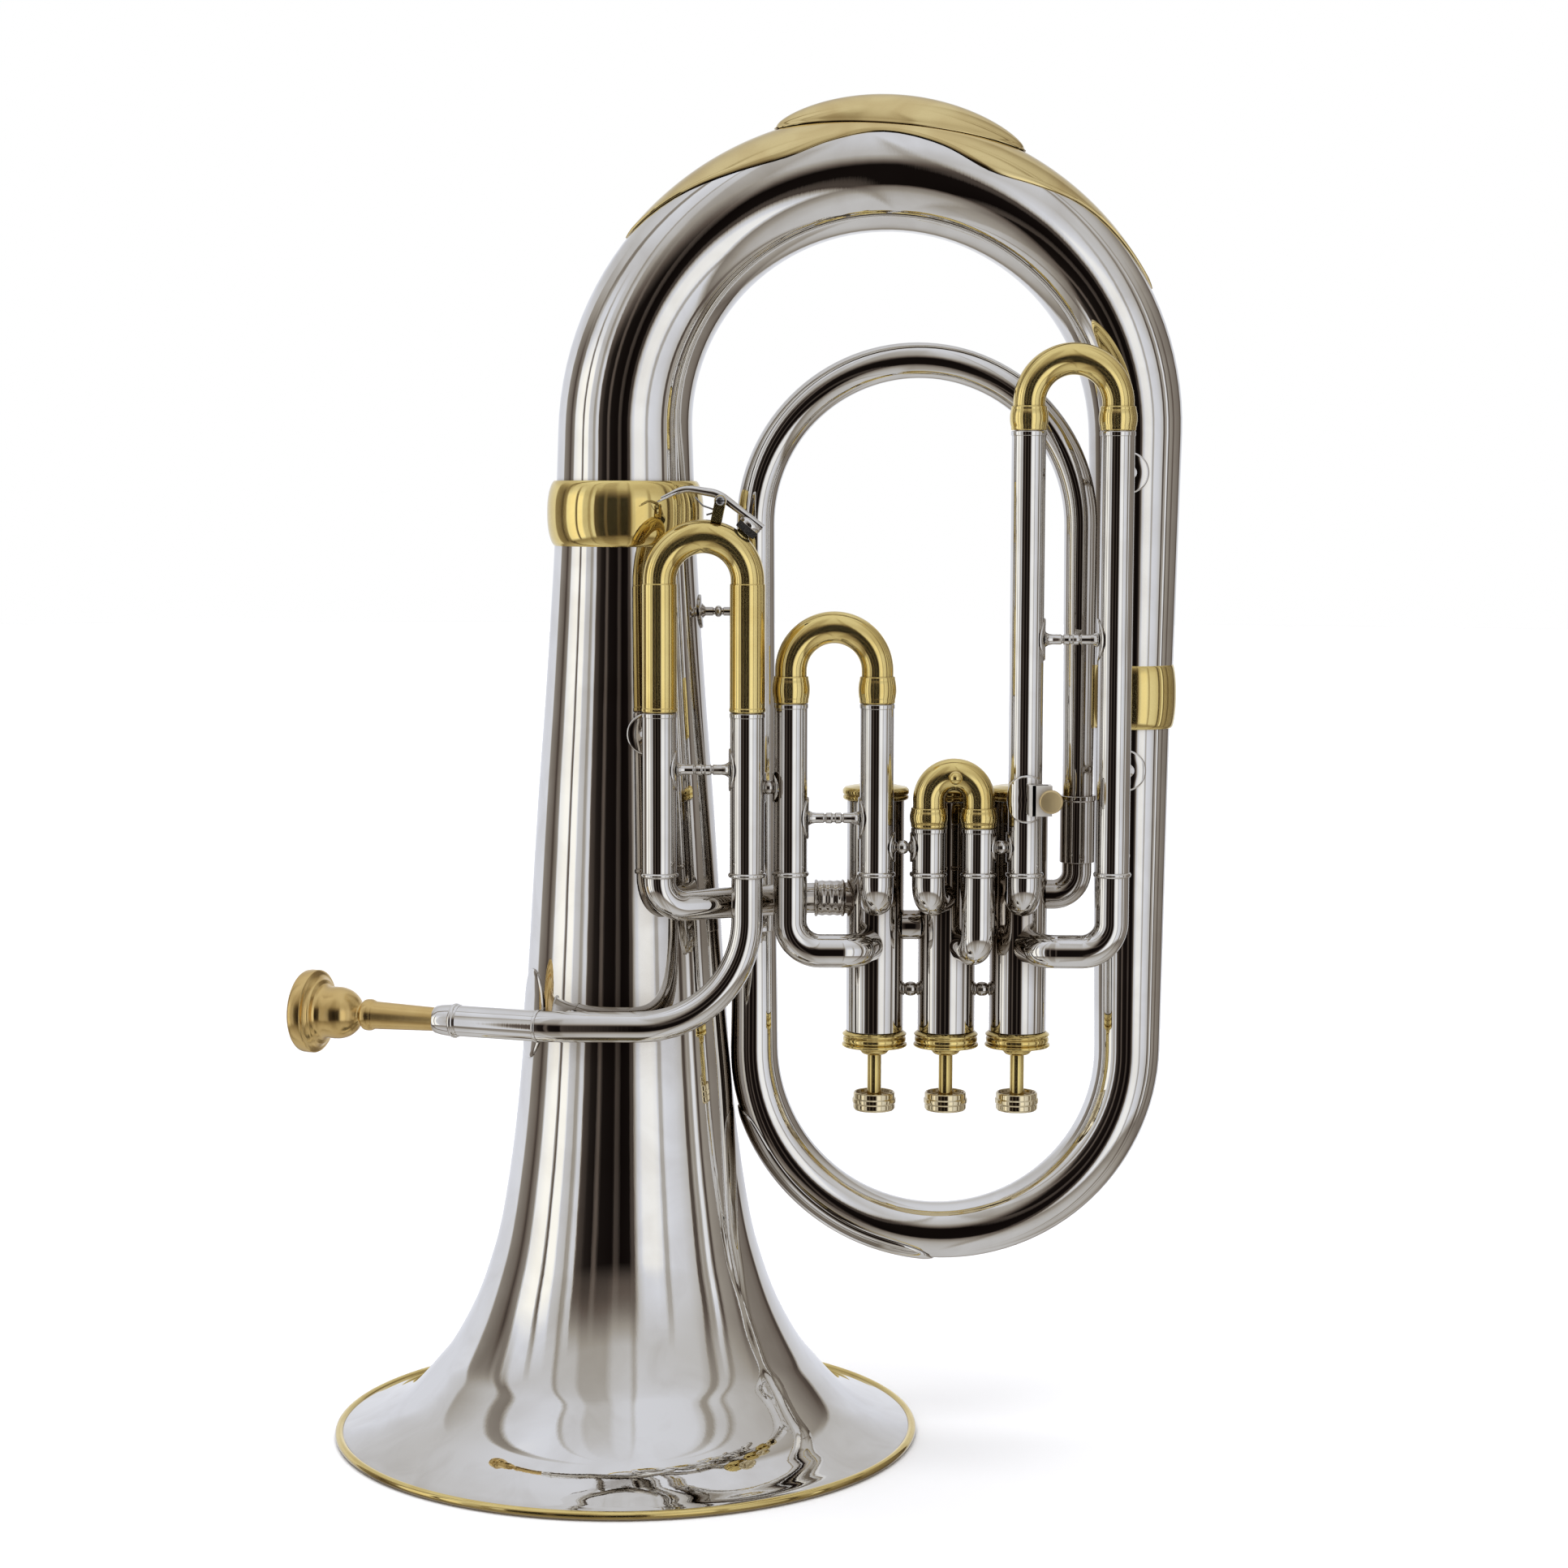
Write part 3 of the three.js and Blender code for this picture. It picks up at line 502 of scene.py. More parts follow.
def top_bow():
    nickel("top_bow_tube", sweep(bow_path(), bow_radius, lambda s: bow_radius(s) - WALL, sides=96),
        "top_bow")
    places, headings, radii, turn = arc_of(bow_path(1.0), GUARD_EDGE[0][0], GUARD_EDGE[-1][0])
    angles, reaches = zip(*smooth_curve(GUARD_EDGE, 6))

    def wavy(share):
        return float(np.interp(turn[0] + (turn[-1] - turn[0]) * share, angles, reaches))
    make("top_bow_guard_sheet", wrapped_sheet(places, headings, radii + GUARD_LIFT, wavy, 1.1), SHEET_BRASS,
        "horn", "top_bow_guard", crease=50)


def rest_cap():
    """An oval domed cap on top of the guard, with a thin rim."""
    box = Box("rest_cap")
    _, _, radii, turn = arc_of(bow_path(1.0), 30, 160)
    half_length, half_width = box.size[0] / 2, box.size[1] / 2 - 0.5
    centre = box.mid
    rings = []
    # Levels of (share of the oval, height above the bow): a thin rim, then a low dome.
    levels = [(1.0, 0.4), (1.0, 0.9), (0.985, 1.2)]
    levels += [(0.98 * math.cos(a), 1.2 + 8.1 * math.sin(a) ** 1.1)
        for a in np.linspace(0.1, math.pi / 2, 22)]
    sides = 96
    bow_centre = vec(AXIS[0] + BOW_R, AXIS[1], BOW_Z)
    for scale, height in levels:
        ring = []
        scale = max(scale, 0.01)
        for k in range(sides):
            angle = 2 * math.pi * k / sides
            x = centre[0] + half_length * scale * math.cos(angle)
            y = half_width * scale * math.sin(angle)
            lean = math.asin(float(np.clip((x - bow_centre[0]) / (BOW_R + 30), -0.99, 0.99)))
            radius = float(np.interp(90 + math.degrees(lean), turn, radii)) + 1.2
            tube = math.sqrt(max(radius ** 2 - y ** 2, 1))
            outward = vec(math.sin(lean), 0, math.cos(lean))
            ring.append(bow_centre + outward * (BOW_R + tube + height) + vec(0, y, 0))
        rings.append(np.array(ring))
    make("rest_cap_oval", rings_mesh(rings, closed=False), SHEET_BRASS, "horn", "rest_cap", crease=55)


LOWER_START = 18.2
LOWER_END = 10.4


def lower_radius(share):
    return LOWER_START + (LOWER_END - LOWER_START) * share


def lower_path(step=3.0):
    bend = (BRANCH_X - LOOP_LEFT_X) / 2
    box = Box("bottom_bow")
    low = box.lo[2] + 14.1
    return route([(BRANCH_X, AXIS[1], box.hi[2]), (BRANCH_X, AXIS[1], low, bend),
        (LOOP_LEFT_X, AXIS[1], low, bend), (LOOP_LEFT_X, AXIS[1], LOOP_JOINT_Z)], step)


def lower_bow():
    tube = sweep(lower_path(), lower_radius, lambda s: lower_radius(s) - WALL, sides=72)
    nickel("bottom_bow_tube", tube, "bottom_bow")
    places, headings = lower_path(1.5)
    radii = np.array([lower_radius(s) for s in shares(places)])
    box = Box("bottom_bow_guard")
    keep = (places[:, 2] < box.hi[2] + 4) & (places[:, 0] < box.hi[0] - 2)

    def wavy(share):
        edge = 1 - abs(2 * share - 1) ** 8
        return 1.0 * edge ** 0.5 + 0.12
    sheet = wrapped_sheet(places[keep], headings[keep], radii[keep] + GUARD_LIFT, wavy, 1.0)
    nickel("bottom_bow_guard_sheet", sheet, "bottom_bow_guard", crease=50)


def inner_loop():
    box = Box("inner_loop")
    sleeve = Box("loop_sleeve")
    right, front = sleeve.mid[0], sleeve.mid[1]
    back = AXIS[1]
    bend = math.hypot(right - LOOP_LEFT_X, front - back) / 2
    high = box.hi[2] - 8.45

    def radius(share):
        return 6.9 + 3.1 * share
    path = route([(right, front, box.lo[2] + 40), (right, front, high, bend),
        (LOOP_LEFT_X, back, high, bend), (LOOP_LEFT_X, back, LOOP_JOINT_Z)])
    nickel("inner_loop_tube", sweep(path, radius, lambda s: radius(s) - WALL), "inner_loop")
    joint = LOOP_JOINT_Z
    bead = [(9.6, joint - 5.4), (11.2, joint - 5.4), (11.2, joint + 3.4), (10.7, joint + 4.6),
        (9.6, joint + 4.6)]
    nickel("loop_joint_sleeve", turned(bead, 0.5, (LOOP_LEFT_X, back, 0)))
    outline = [(6.9, sleeve.lo[2]), (8.1, sleeve.lo[2]), (8.1, sleeve.hi[2] - 2.6),
        (8.5, sleeve.hi[2] - 2.2), (8.5, sleeve.hi[2]), (6.9, sleeve.hi[2])]
    nickel("loop_sleeve_tube", turned(outline, 0.35, (right, front, 0)), "loop_sleeve")


# ---- Valves -------------------------------------------------------------------------------
CASING_R = VALVES[0].size[0] / 2
VALVE_Y = VALVES[0].mid[1]
PORT_HIGH = Box("outlet_elbow").lo[2] + 6.9
PORT_LOW = Box("slide_1_tubes").lo[2] + TUBE_R
PORT_MAIN = Box("main_slide_elbow").lo[2] + 8.7
PORT_CROSS = Box("crossover_12").mid[2]


def into_valve(index, x, y, z):
    """Where a tube that comes from (x, y) at a height passes just inside a casing's wall."""
    axis = vec(VALVES[index].mid[0], VALVE_Y, z)
    return axis + unit(vec(x, y, z) - axis) * (CASING_R - 1.2)


def valve(index):
    number = index + 1
    body = f"valve_{number}"
    box = VALVES[index]
    low, high = box.lo[2], box.hi[2]
    centre = vec(box.mid[0], VALVE_Y, 0)
    shell = [(CASING_R - 1, low), (CASING_R, low), (CASING_R, high), (CASING_R - 1, high)]
    nickel(f"casing_{number}_tube", turned(shell, 0.25, centre, sides=96), f"casing_{number}")
    far = Box(f"bottom_cap_{number}")
    z = far.lo[2]
    cap = [(0.8, z), (14.7, z), (15.4, z + 0.6), (15.4, z + 1.8), (14.8, z + 2.3), (15.6, z + 2.9),
        (15.6, z + 4.6), (14.6, z + 5.9), (9.5, z + 6.9), (5, z + 7.1), (3.4, z + 6.3), (1.2, z + 6.1),
        (0.8, z + 5)]
    make(f"bottom_cap_{number}_turned", turned(cap, 0.5, centre, sides=96), BRASS, "horn",
        f"bottom_cap_{number}")
    near = Box(f"finger_cap_{number}")
    z = near.lo[2]
    cap = [(3.6, z + 0.7), (4.0, z), (5.2, z), (6.0, z + 0.5), (6.8, z + 1.5), (7.0, z + 2.2),
        (8.4, z + 2.7), (12.6, z + 3.4)]
    for radius, level, thick in ((14.8, 4.6, 0.75), (14.25, 7.1, 1.35), (14.5, 9.6, 0.6)):
        cap += [(radius + 0.6 * math.cos(a), z + level + thick * math.sin(a))
            for a in np.linspace(-1.45, 1.45, 9)]
    cap += [(13.6, near.hi[2]), (3.6, near.hi[2])]
    make(f"finger_cap_{number}_turned", lathe(cap, centre, sides=96, closed=True), BRASS, "horn",
        f"finger_cap_{number}")
    button(number, centre, body)
    inside_valve(number, centre, body)


def button(number, centre, body):
    box = Box(f"finger_button_{number}")
    z, top = box.lo[2], box.hi[2]
    outline = rounded([(0, z + 1.2), (5.0, z + 1.0), (7.8, z + 0.3), (9.3, z + 0.5), (9.9, z + 1.4),
        (9.9, z + 3.6), (10.3, z + 4.1), (10.3, z + 5.9), (9.8, z + 6.4), (9.8, z + 8.6), (9.3, z + 9.2),
        (8.7, z + 8.8), (8.2, z + 7.3), (5.6, z + 6.6), (3.1, z + 6.6)], 0.35)
    make(f"finger_button_{number}_turned", lathe(outline + [(0, z + 6.6)], centre, sides=72), PALE_BRASS,
        body, f"finger_button_{number}", crease=35)
    stem = [(0, z + 6.5), (3.9, z + 6.5), (3.5, z + 7.6), (3.3, z + 8.4), (3.3, top - 1), (2.4, top),
        (0, top)]
    make(f"finger_stem_{number}", lathe(stem, centre, sides=48), BRASS, body)


def inside_valve(number, centre, body):
    """The piston with its ports and the spring behind it."""
    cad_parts[f"piston_{number}"].data.materials.clear()
    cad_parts[f"piston_{number}"].data.materials.append(STEEL)
    box = Box(f"valve_spring_{number}")
    turns, steps, radius, wire = 6, 20, 8.6, 0.55
    count = turns * steps
    places = [centre + vec(radius * math.cos(2 * math.pi * i / steps),
        radius * math.sin(2 * math.pi * i / steps),
        box.lo[2] + wire + (box.size[2] - 2 * wire) * i / count) for i in range(count + 1)]
    places = np.array(places)
    headings = np.gradient(places, axis=0)
    headings /= np.linalg.norm(headings, axis=1)[:, None]
    coil = make(f"valve_spring_{number}_coil", sweep((places, headings), wire, sides=8), STEEL, body,
        f"valve_spring_{number}")
    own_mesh(coil)


def turned_link(start, end):
    """A turned brace between two tubes: a round foot at each end and a bead in the middle."""
    start, end = np.array(start, float), np.array(end, float)
    length = np.linalg.norm(end - start)
    half = length / 2
    waist = 2.0
    ball = 3.4
    foot = min(3.2, half * 1.1)
    side = [(0, 0), (foot, 0), (foot, 0.7), (foot * 0.72, 1.2), (waist, min(2.6, half * 0.5)),
        (waist, half - ball * 0.9)]
    bead = [(waist + (ball - waist) * math.cos(t), half + ball * 0.8 * math.sin(t))
        for t in np.linspace(-1.3, 1.3, 9)]
    other = [(r, length - z) for r, z in reversed(side)]
    return lathe(rounded(side + bead + other, 0.3), start, end - start, sides=40)


def crossovers():
    for a, b in ((1, 2), (2, 3)):
        left, right = VALVES[a - 1].mid[0], VALVES[b - 1].mid[0]
        gap_low, gap_high = left + CASING_R - 1, right - CASING_R + 1
        tube = [(6, gap_low), (6.9, gap_low), (6.9, gap_high), (6, gap_high)]
        nickel(f"crossover_{a}{b}_tube", turned(tube, 0.1, (0, VALVE_Y, PORT_CROSS), (1, 0, 0)),
            f"crossover_{a}{b}")
        height = Box(f"casing_brace_{a}{b}").mid[2]
        ends = [(gap_low + 0.6, VALVE_Y, height), (gap_high - 0.6, VALVE_Y, height)]
        nickel(f"casing_brace_{a}{b}_turned", turned_link(*ends), f"casing_brace_{a}{b}")


def outlet_elbow():
    sleeve = Box("loop_sleeve")
    start = into_valve(2, VALVES[2].mid[0] + 30, VALVE_Y, PORT_HIGH)
    path = route([start, (sleeve.mid[0], VALVE_Y, PORT_HIGH, 11),
        (sleeve.mid[0], VALVE_Y, sleeve.lo[2] + 15)])
    nickel("outlet_elbow_tube", sweep(path, 6.9, 6.2), "outlet_elbow")


# ---- Slides -------------------------------------------------------------------------------
def ring_bead(x, y, z):
    """The bead at the lower end of a slide tube."""
    inner, outer, half = 7.2, 8.75, 1.15
    outline = [(outer - half + half * math.cos(t), z + half * math.sin(t))
        for t in np.linspace(-1.57, 1.57, 11)]
    return lathe([(inner, z - half)] + outline + [(inner, z + half)], (x, y, 0), sides=56, closed=True)


def mouth_lip(x, y, z):
    """The little raised edge where an outer slide tube ends."""
    outline = [(TUBE_BORE, z - 2.2), (8.05, z - 2.2), (8.15, z - 1.8), (8.15, z - 0.3), (7.9, z),
        (TUBE_BORE, z)]
    return turned(outline, 0.25, (x, y, 0), sides=56)


def collar(x, y, low, high):
    """The brass ferrule that joins a leg to the bow: a swollen barrel with a lip at its mouth."""
    swell, bore = 8.8, 6.7
    height = high - low
    outline = [(bore, low), (8.0, low), (8.2, low + 0.3), (8.2, low + 1.0)]
    outline += [(8.1 + (swell - 8.1) * math.sin(math.pi * t) ** 0.7, low + 1.3 + (height - 2.6) * t)
        for t in np.linspace(0.04, 0.96, 15)]
    outline += [(8.15, high - 1.1), (8.2, high - 0.5), (7.9, high), (7.2, high + 0.1), (bore, high)]
    return lathe(outline, (x, y, 0), sides=56, closed=True)


def slide_bow(name, tubes_node, reach, long_sleeve=False):
    """A slide's brass bow and inner legs. Gives the legs' places, the outer tubes' top and the crown."""
    box = Box(f"{name}_bow")
    tubes = Box(tubes_node)
    top = tubes.hi[2]
    swell = 8.2 if name in ("main_slide", "slide_2") else 8.5
    left, right = box.lo[0] + swell, box.hi[0] - swell
    y = {"slide_2": box.hi[1] - swell, "main_slide": box.mid[1]}.get(name, tubes.lo[1] + TUBE_R)
    bend = (right - left) / 2
    crown = box.hi[2] - 7.7
    path = route([(left, y, top + reach - 1.5), (left, y, crown, bend), (right, y, crown, bend),
        (right, y, top + reach - 1.5)])
    pieces = [sweep(path, 7.7 if long_sleeve else 7.35, 6.2, sides=56)]
    for x in (left, right):
        if long_sleeve:
            outline = [(6.7, top + 0.3), (8.0, top + 0.3), (8.35, top + 0.8), (8.35, top + 2.0),
                (8.1, top + 2.4), (8.1, top + reach - 0.6), (7.9, top + reach), (6.7, top + reach)]
            pieces.append(turned(outline, 0.25, (x, y, 0), sides=56))
        else:
            pieces.append(collar(x, y, top + 0.3, top + reach))
    make(f"{name}_bow_brass", merged(*pieces), BRASS, name, f"{name}_bow")
    legs = [lathe([(LEG_R - 0.7, box.lo[2]), (LEG_R, box.lo[2]), (LEG_R, top + 4), (LEG_R - 0.7, top + 4)],
        (x, y, 0), sides=48, closed=True) for x in (left, right)]
    make(f"{name}_legs", merged(*legs), NICKEL, name)
    return left, right, y, top, crown


def wrapped_disc(centre, outward, tube_r, wide, tall, thick=1.0, waist=0.0):
    """A thin plate of oval or leaf outline bent round an upright tube, with a rounded edge.

    tube_r is the tube's radius, or a function of height. waist pinches the outline towards its tips.
    """
    outward = unit(np.array(outward, float))
    side = np.cross(vec(0, 0, 1), outward)
    rings = []
    for scale, lift in ((1.0, 0.02), (1.0, thick * 0.55), (0.965, thick * 0.85), (0.9, thick), (0.6, thick),
            (0.3, thick), (0.02, thick)):
        ring = []
        for k in range(64):
            angle = 2 * math.pi * k / 64
            up = tall * scale * math.sin(angle)
            across = wide * scale * math.cos(angle) * abs(math.cos(angle)) ** waist
            r = value_at(tube_r, centre[2] + up)
            turn = across / r
            ring.append(vec(centre[0], centre[1], centre[2] + up)
                + (r + lift) * (math.cos(turn) * outward + math.sin(turn) * side))
        rings.append(np.array(ring))
    return rings_mesh(rings, closed=False)


def slide_brace(name, left, right, y, z, ball=False):
    """A turned brace between two slide tubes, with a pointed leaf soldered round each tube."""
    start, end = left + TUBE_R + 0.2, right - TUBE_R - 0.2
    length = end - start
    half = length / 2
    if ball:
        near_side = [(0, 0), (3.6, 0), (2.9, 0.6), (1.9, 1.3), (1.8, half - 2.4)]
        middle = [(1.8 + 1.5 * math.cos(t), half + 2.4 * math.sin(t)) for t in np.linspace(-1.3, 1.3, 13)]
    else:
        near_side = [(0, 0), (4.4, 0), (3.4, 0.8), (2.7, 2.0), (2.4, 3.6), (2.4, half - 4.6),
            (1.9, half - 4.3), (1.9, half - 3.7), (2.5, half - 3.4), (2.6, half - 1.0), (2.1, half - 0.6)]
        middle = [(2.1, half)]
    far_side = [(r, length - run) for r, run in reversed(near_side)]
    rod = lathe(rounded(near_side + middle + far_side, 0.25), (start, y, z), (1, 0, 0), sides=40)
    wide, tall = (6.2, 7.0) if ball else (6.6, 9.8)
    feet = [wrapped_disc((left, y, z), (1, 0, 0), TUBE_R, wide, tall, 0.8, 0.35),
        wrapped_disc((right, y, z), (-1, 0, 0), TUBE_R, wide, tall, 0.8, 0.35)]
    nickel(name, merged(rod, *feet))


def outer_tube(index, x, y, top, corners, radius=TUBE_R, aim_y=None):
    """A slide tube with its bead and lip: down from its mouth, round the corners and into a casing."""
    last_x, last_y, last_z = corners[-1][:3]
    end = into_valve(index, last_x, last_y if aim_y is None else aim_y, last_z)
    tube = sweep(route([(x, y, top), *corners, end]), radius, TUBE_BORE)
    return merged(tube, ring_bead(x, y, RING_Z), mouth_lip(x, y, top))


def valve_slides():
    """The three valve slides. One tube of each enters its casing high, and the other low."""
    left, right, y, top, _ = slide_bow("slide_1", "slide_1_tubes", 12.6)
    inward = left + 30.2
    low = outer_tube(0, left, y, top, [(left, y, PORT_LOW, 14), (inward, y, PORT_LOW, 9)])
    high = outer_tube(0, right, y, top, [(right, y, PORT_HIGH, 8.2)])
    nickel("slide_1_outer_tubes", merged(low, high), "slide_1_tubes")
    slide_brace("slide_1_brace", left, right, y, 302.3)
    first_right = right

    left, right, y, top, crown = slide_bow("slide_2", "slide_2_left_tube", 9.3)
    thin = TUBE_R - 0.2
    high = outer_tube(1, left, y, top, [(left, y, PORT_HIGH, 8.2)], thin)
    nickel("slide_2_left_outer_tube", high, "slide_2_left_tube")
    low = outer_tube(1, right, y, top, [(right, y, PORT_LOW, 9)], thin, y + 12)
    nickel("slide_2_right_outer_tube", low, "slide_2_right_tube")
    middle = (left + right) / 2
    ball = [(0, 0), (2.4, 0), (1.4, 1.0), (1.3, 1.7)]
    ball += [(3.05 * math.cos(t), 4.6 + 3.05 * math.sin(t)) for t in np.linspace(-1.1, math.pi / 2, 16)]
    make("slide_2_pull_ball", lathe(ball, (middle, y - 7.5, crown - 0.6), (0, -1, 0), sides=48), BRASS,
        "slide_2")
    slide_brace("slide_link_12", first_right, left, y, SLIDE_LINK_Z, ball=True)
    second_right = right

    left, right, y, top, _ = slide_bow("slide_3", "slide_3_tubes", 11.3)
    inward = VALVES[2].mid[0] + 10.3
    high = outer_tube(2, left, y, top, [(left, y, PORT_HIGH, 8.2)])
    low = outer_tube(2, right, y, top, [(right, y, PORT_LOW, 14), (inward, y, PORT_LOW, 9)])
    nickel("slide_3_outer_tubes", merged(high, low), "slide_3_tubes")
    slide_brace("slide_3_brace", left, right, y, 384.8)
    slide_brace("slide_link_23", second_right, left, y, SLIDE_LINK_Z, ball=True)


def main_slide():
    left, right, y, top, _ = slide_bow("main_slide", "main_slide_tubes", 59, long_sleeve=True)
    low = Box("main_slide_tubes").lo[2]
    tubes = []
    for x in (left, right):
        outline = [(TUBE_BORE, low), (TUBE_R + 0.1, low), (TUBE_R + 0.1, top), (TUBE_BORE, top)]
        tubes.append(turned(outline, 0.2, (x, y, 0), sides=56))
        tubes += [ring_bead(x, y, RING_Z), mouth_lip(x, y, top)]
    nickel("main_slide_outer_tubes", merged(*tubes), "main_slide_tubes")
    slide_brace("main_slide_brace", left, right, y, 325)
    elbow = Box("main_slide_elbow")
    start, end = elbow.hi[0] - 17.3, elbow.hi[0] - 0.5
    path = route([(left, y, low + 0.5), (left, y, PORT_MAIN, 12.5), (AXIS[0] + 86, VALVE_Y, PORT_MAIN, 30),
        (start + 2, VALVE_Y, PORT_MAIN)])
    ribs = [(8.0 + 0.35 * math.sin(math.pi * x / 3.6) ** 2, start + 1.8 + x)
        for x in np.linspace(0, 10.8, 37)]
    outline = rounded([(6.4, start), (8.4, start), (8.9, start + 0.7), (8.5, start + 1.4)], 0.3)
    outline += ribs + rounded([(8.5, start + 12.6), (8.9, start + 13.3), (8.4, start + 14),
        (7.4, start + 14.4), (7.4, end + 2), (6.4, end + 2)], 0.3)
    coupling = lathe(outline, (0, VALVE_Y, PORT_MAIN), (1, 0, 0), sides=64, closed=True)
    nickel("main_slide_elbow_tube", merged(sweep(path, 7.2, 6.4), coupling), "main_slide_elbow")
    slide_brace("slide_link_main_1", right, Box("slide_1_bow").lo[0] + 8.5, (y + SLIDE_Y) / 2, 316.7,
        ball=True)
    return left, right, y


# ---- Leadpipe and mouthpiece --------------------------------------------------------------
KINK = at(-32, 0, 0)
LEAD_Z = Box("mouthpiece").mid[2]
TOWARDS = vec(-math.cos(LEAD_ANGLE), math.sin(LEAD_ANGLE), 0)
LEAD_Y = Box("main_slide_bow").mid[1] - 2


def along_lead(run):
    return vec(KINK[0], LEAD_Y, LEAD_Z) + TOWARDS * run


def leadpipe(main_right, main_y):
    path = route([along_lead(47), (*along_lead(0), 40), (main_right, LEAD_Y, LEAD_Z, 50),
        (main_right, main_y, RING_Z - 1)])
    seam = turned([(6.8, -0.8), (7.6, -0.8), (7.6, 0.8), (6.8, 0.8)], 0.35, along_lead(6), TOWARDS)
    nickel("leadpipe_tube", merged(sweep(path, 7.2, 6.4, sides=56), seam), "leadpipe")
    seat = [(5.75, 12), (6.1, 12.2), (6.5, 11.6), (7.0, 9), (7.35, 5.5), (7.5, 3.4), (7.95, 3.0),
        (8.1, 2.2), (7.95, 1.4), (7.5, 1.0), (7.45, 0.2), (7.3, -0.2), (5.75, 0)]
    nickel("receiver_turned", lathe(seat, along_lead(46), TOWARDS, closed=True), "mouthpiece_receiver")


def mouthpiece():
    outside = smooth_curve([(13.3, 0.55), (14.6, 0.1), (16.4, 0), (18.4, 0.5), (19.35, 1.6), (19.6, 3.0)], 5)
    outside += [(19.6, 6.6), (19.4, 7.1), (18.9, 7.4)]
    outside += smooth_curve([(18.6, 7.5), (17.2, 7.9), (15.9, 8.9), (15.2, 10.0), (14.6, 10.3)], 5)
    outside += smooth_curve([(13.4, 10.8), (12.6, 12.0), (12.2, 14), (12.25, 17.5), (12.0, 20.5),
        (10.8, 24), (8.5, 27), (5.9, 29), (4.7, 30.3), (4.9, 31.2)], 6)
    outside += smooth_curve([(6.0, 31.7), (7.1, 32.6), (7.4, 34), (7.35, 35.6), (6.9, 36.8), (6.6, 37.4)], 5)
    outside += [(6.5, 38.2), (5.5, 69), (5.15, 83), (4.7, 83.2)]
    inside = [(4.2, 83), (3.4, 55), (3.0, 32), (3.1, 28.5)]
    inside += smooth_curve([(3.6, 27), (5.6, 24.4), (8.2, 20.6), (10.0, 15.5), (11.1, 9.5), (11.9, 4),
        (12.7, 1.4)], 5)
    rim = along_lead(127.5)
    make("mouthpiece_turned", lathe(outside + inside, rim, -TOWARDS, sides=128, closed=True), SATIN,
        "mouthpiece", "mouthpiece", crease=30)


# ---- Water key ----------------------------------------------------------------------------
def prism(profile, low, high, bevel=0.25):
    """A flat plate: an outline of (x, z) points given a thickness along Y, with eased edges."""
    middle = np.mean(np.array(profile), axis=0)
    rings = []
    for inset, y in ((bevel, low), (0, low + bevel), (0, high - bevel), (bevel, high)):
        ring = []
        for x, z in profile:
            away = unit(vec(x, z) - middle)
            ring.append(vec(x - away[0] * inset, y, z - away[1] * inset))
        rings.append(np.array(ring))
    return rings_mesh(rings, closed=False)


def carve(piece, shape):
    """Cuts a shape out of a piece and keeps the result as its mesh."""
    cutter = added("cutter", mesh_of("cutter", shape))
    cut = piece.modifiers.new("cut", "BOOLEAN")
    cut.operation = "DIFFERENCE"
    cut.object = cutter
    cut.solver = "EXACT"
    bpy.context.view_layer.update()
    depsgraph = bpy.context.evaluated_depsgraph_get()
    result = bpy.data.meshes.new_from_object(piece.evaluated_get(depsgraph))
    piece.modifiers.remove(cut)
    piece.data = result
    bpy.data.objects.remove(cutter)


def block(low, high):
    (x0, y0, z0), (x1, y1, z1) = low, high
    points = [(x, y, z) for x in (x0, x1) for y in (y0, y1) for z in (z0, z1)]
    return points, [(0, 1, 3, 2), (4, 6, 7, 5), (0, 4, 5, 1), (2, 3, 7, 6), (0, 2, 6, 4), (1, 5, 7, 3)]


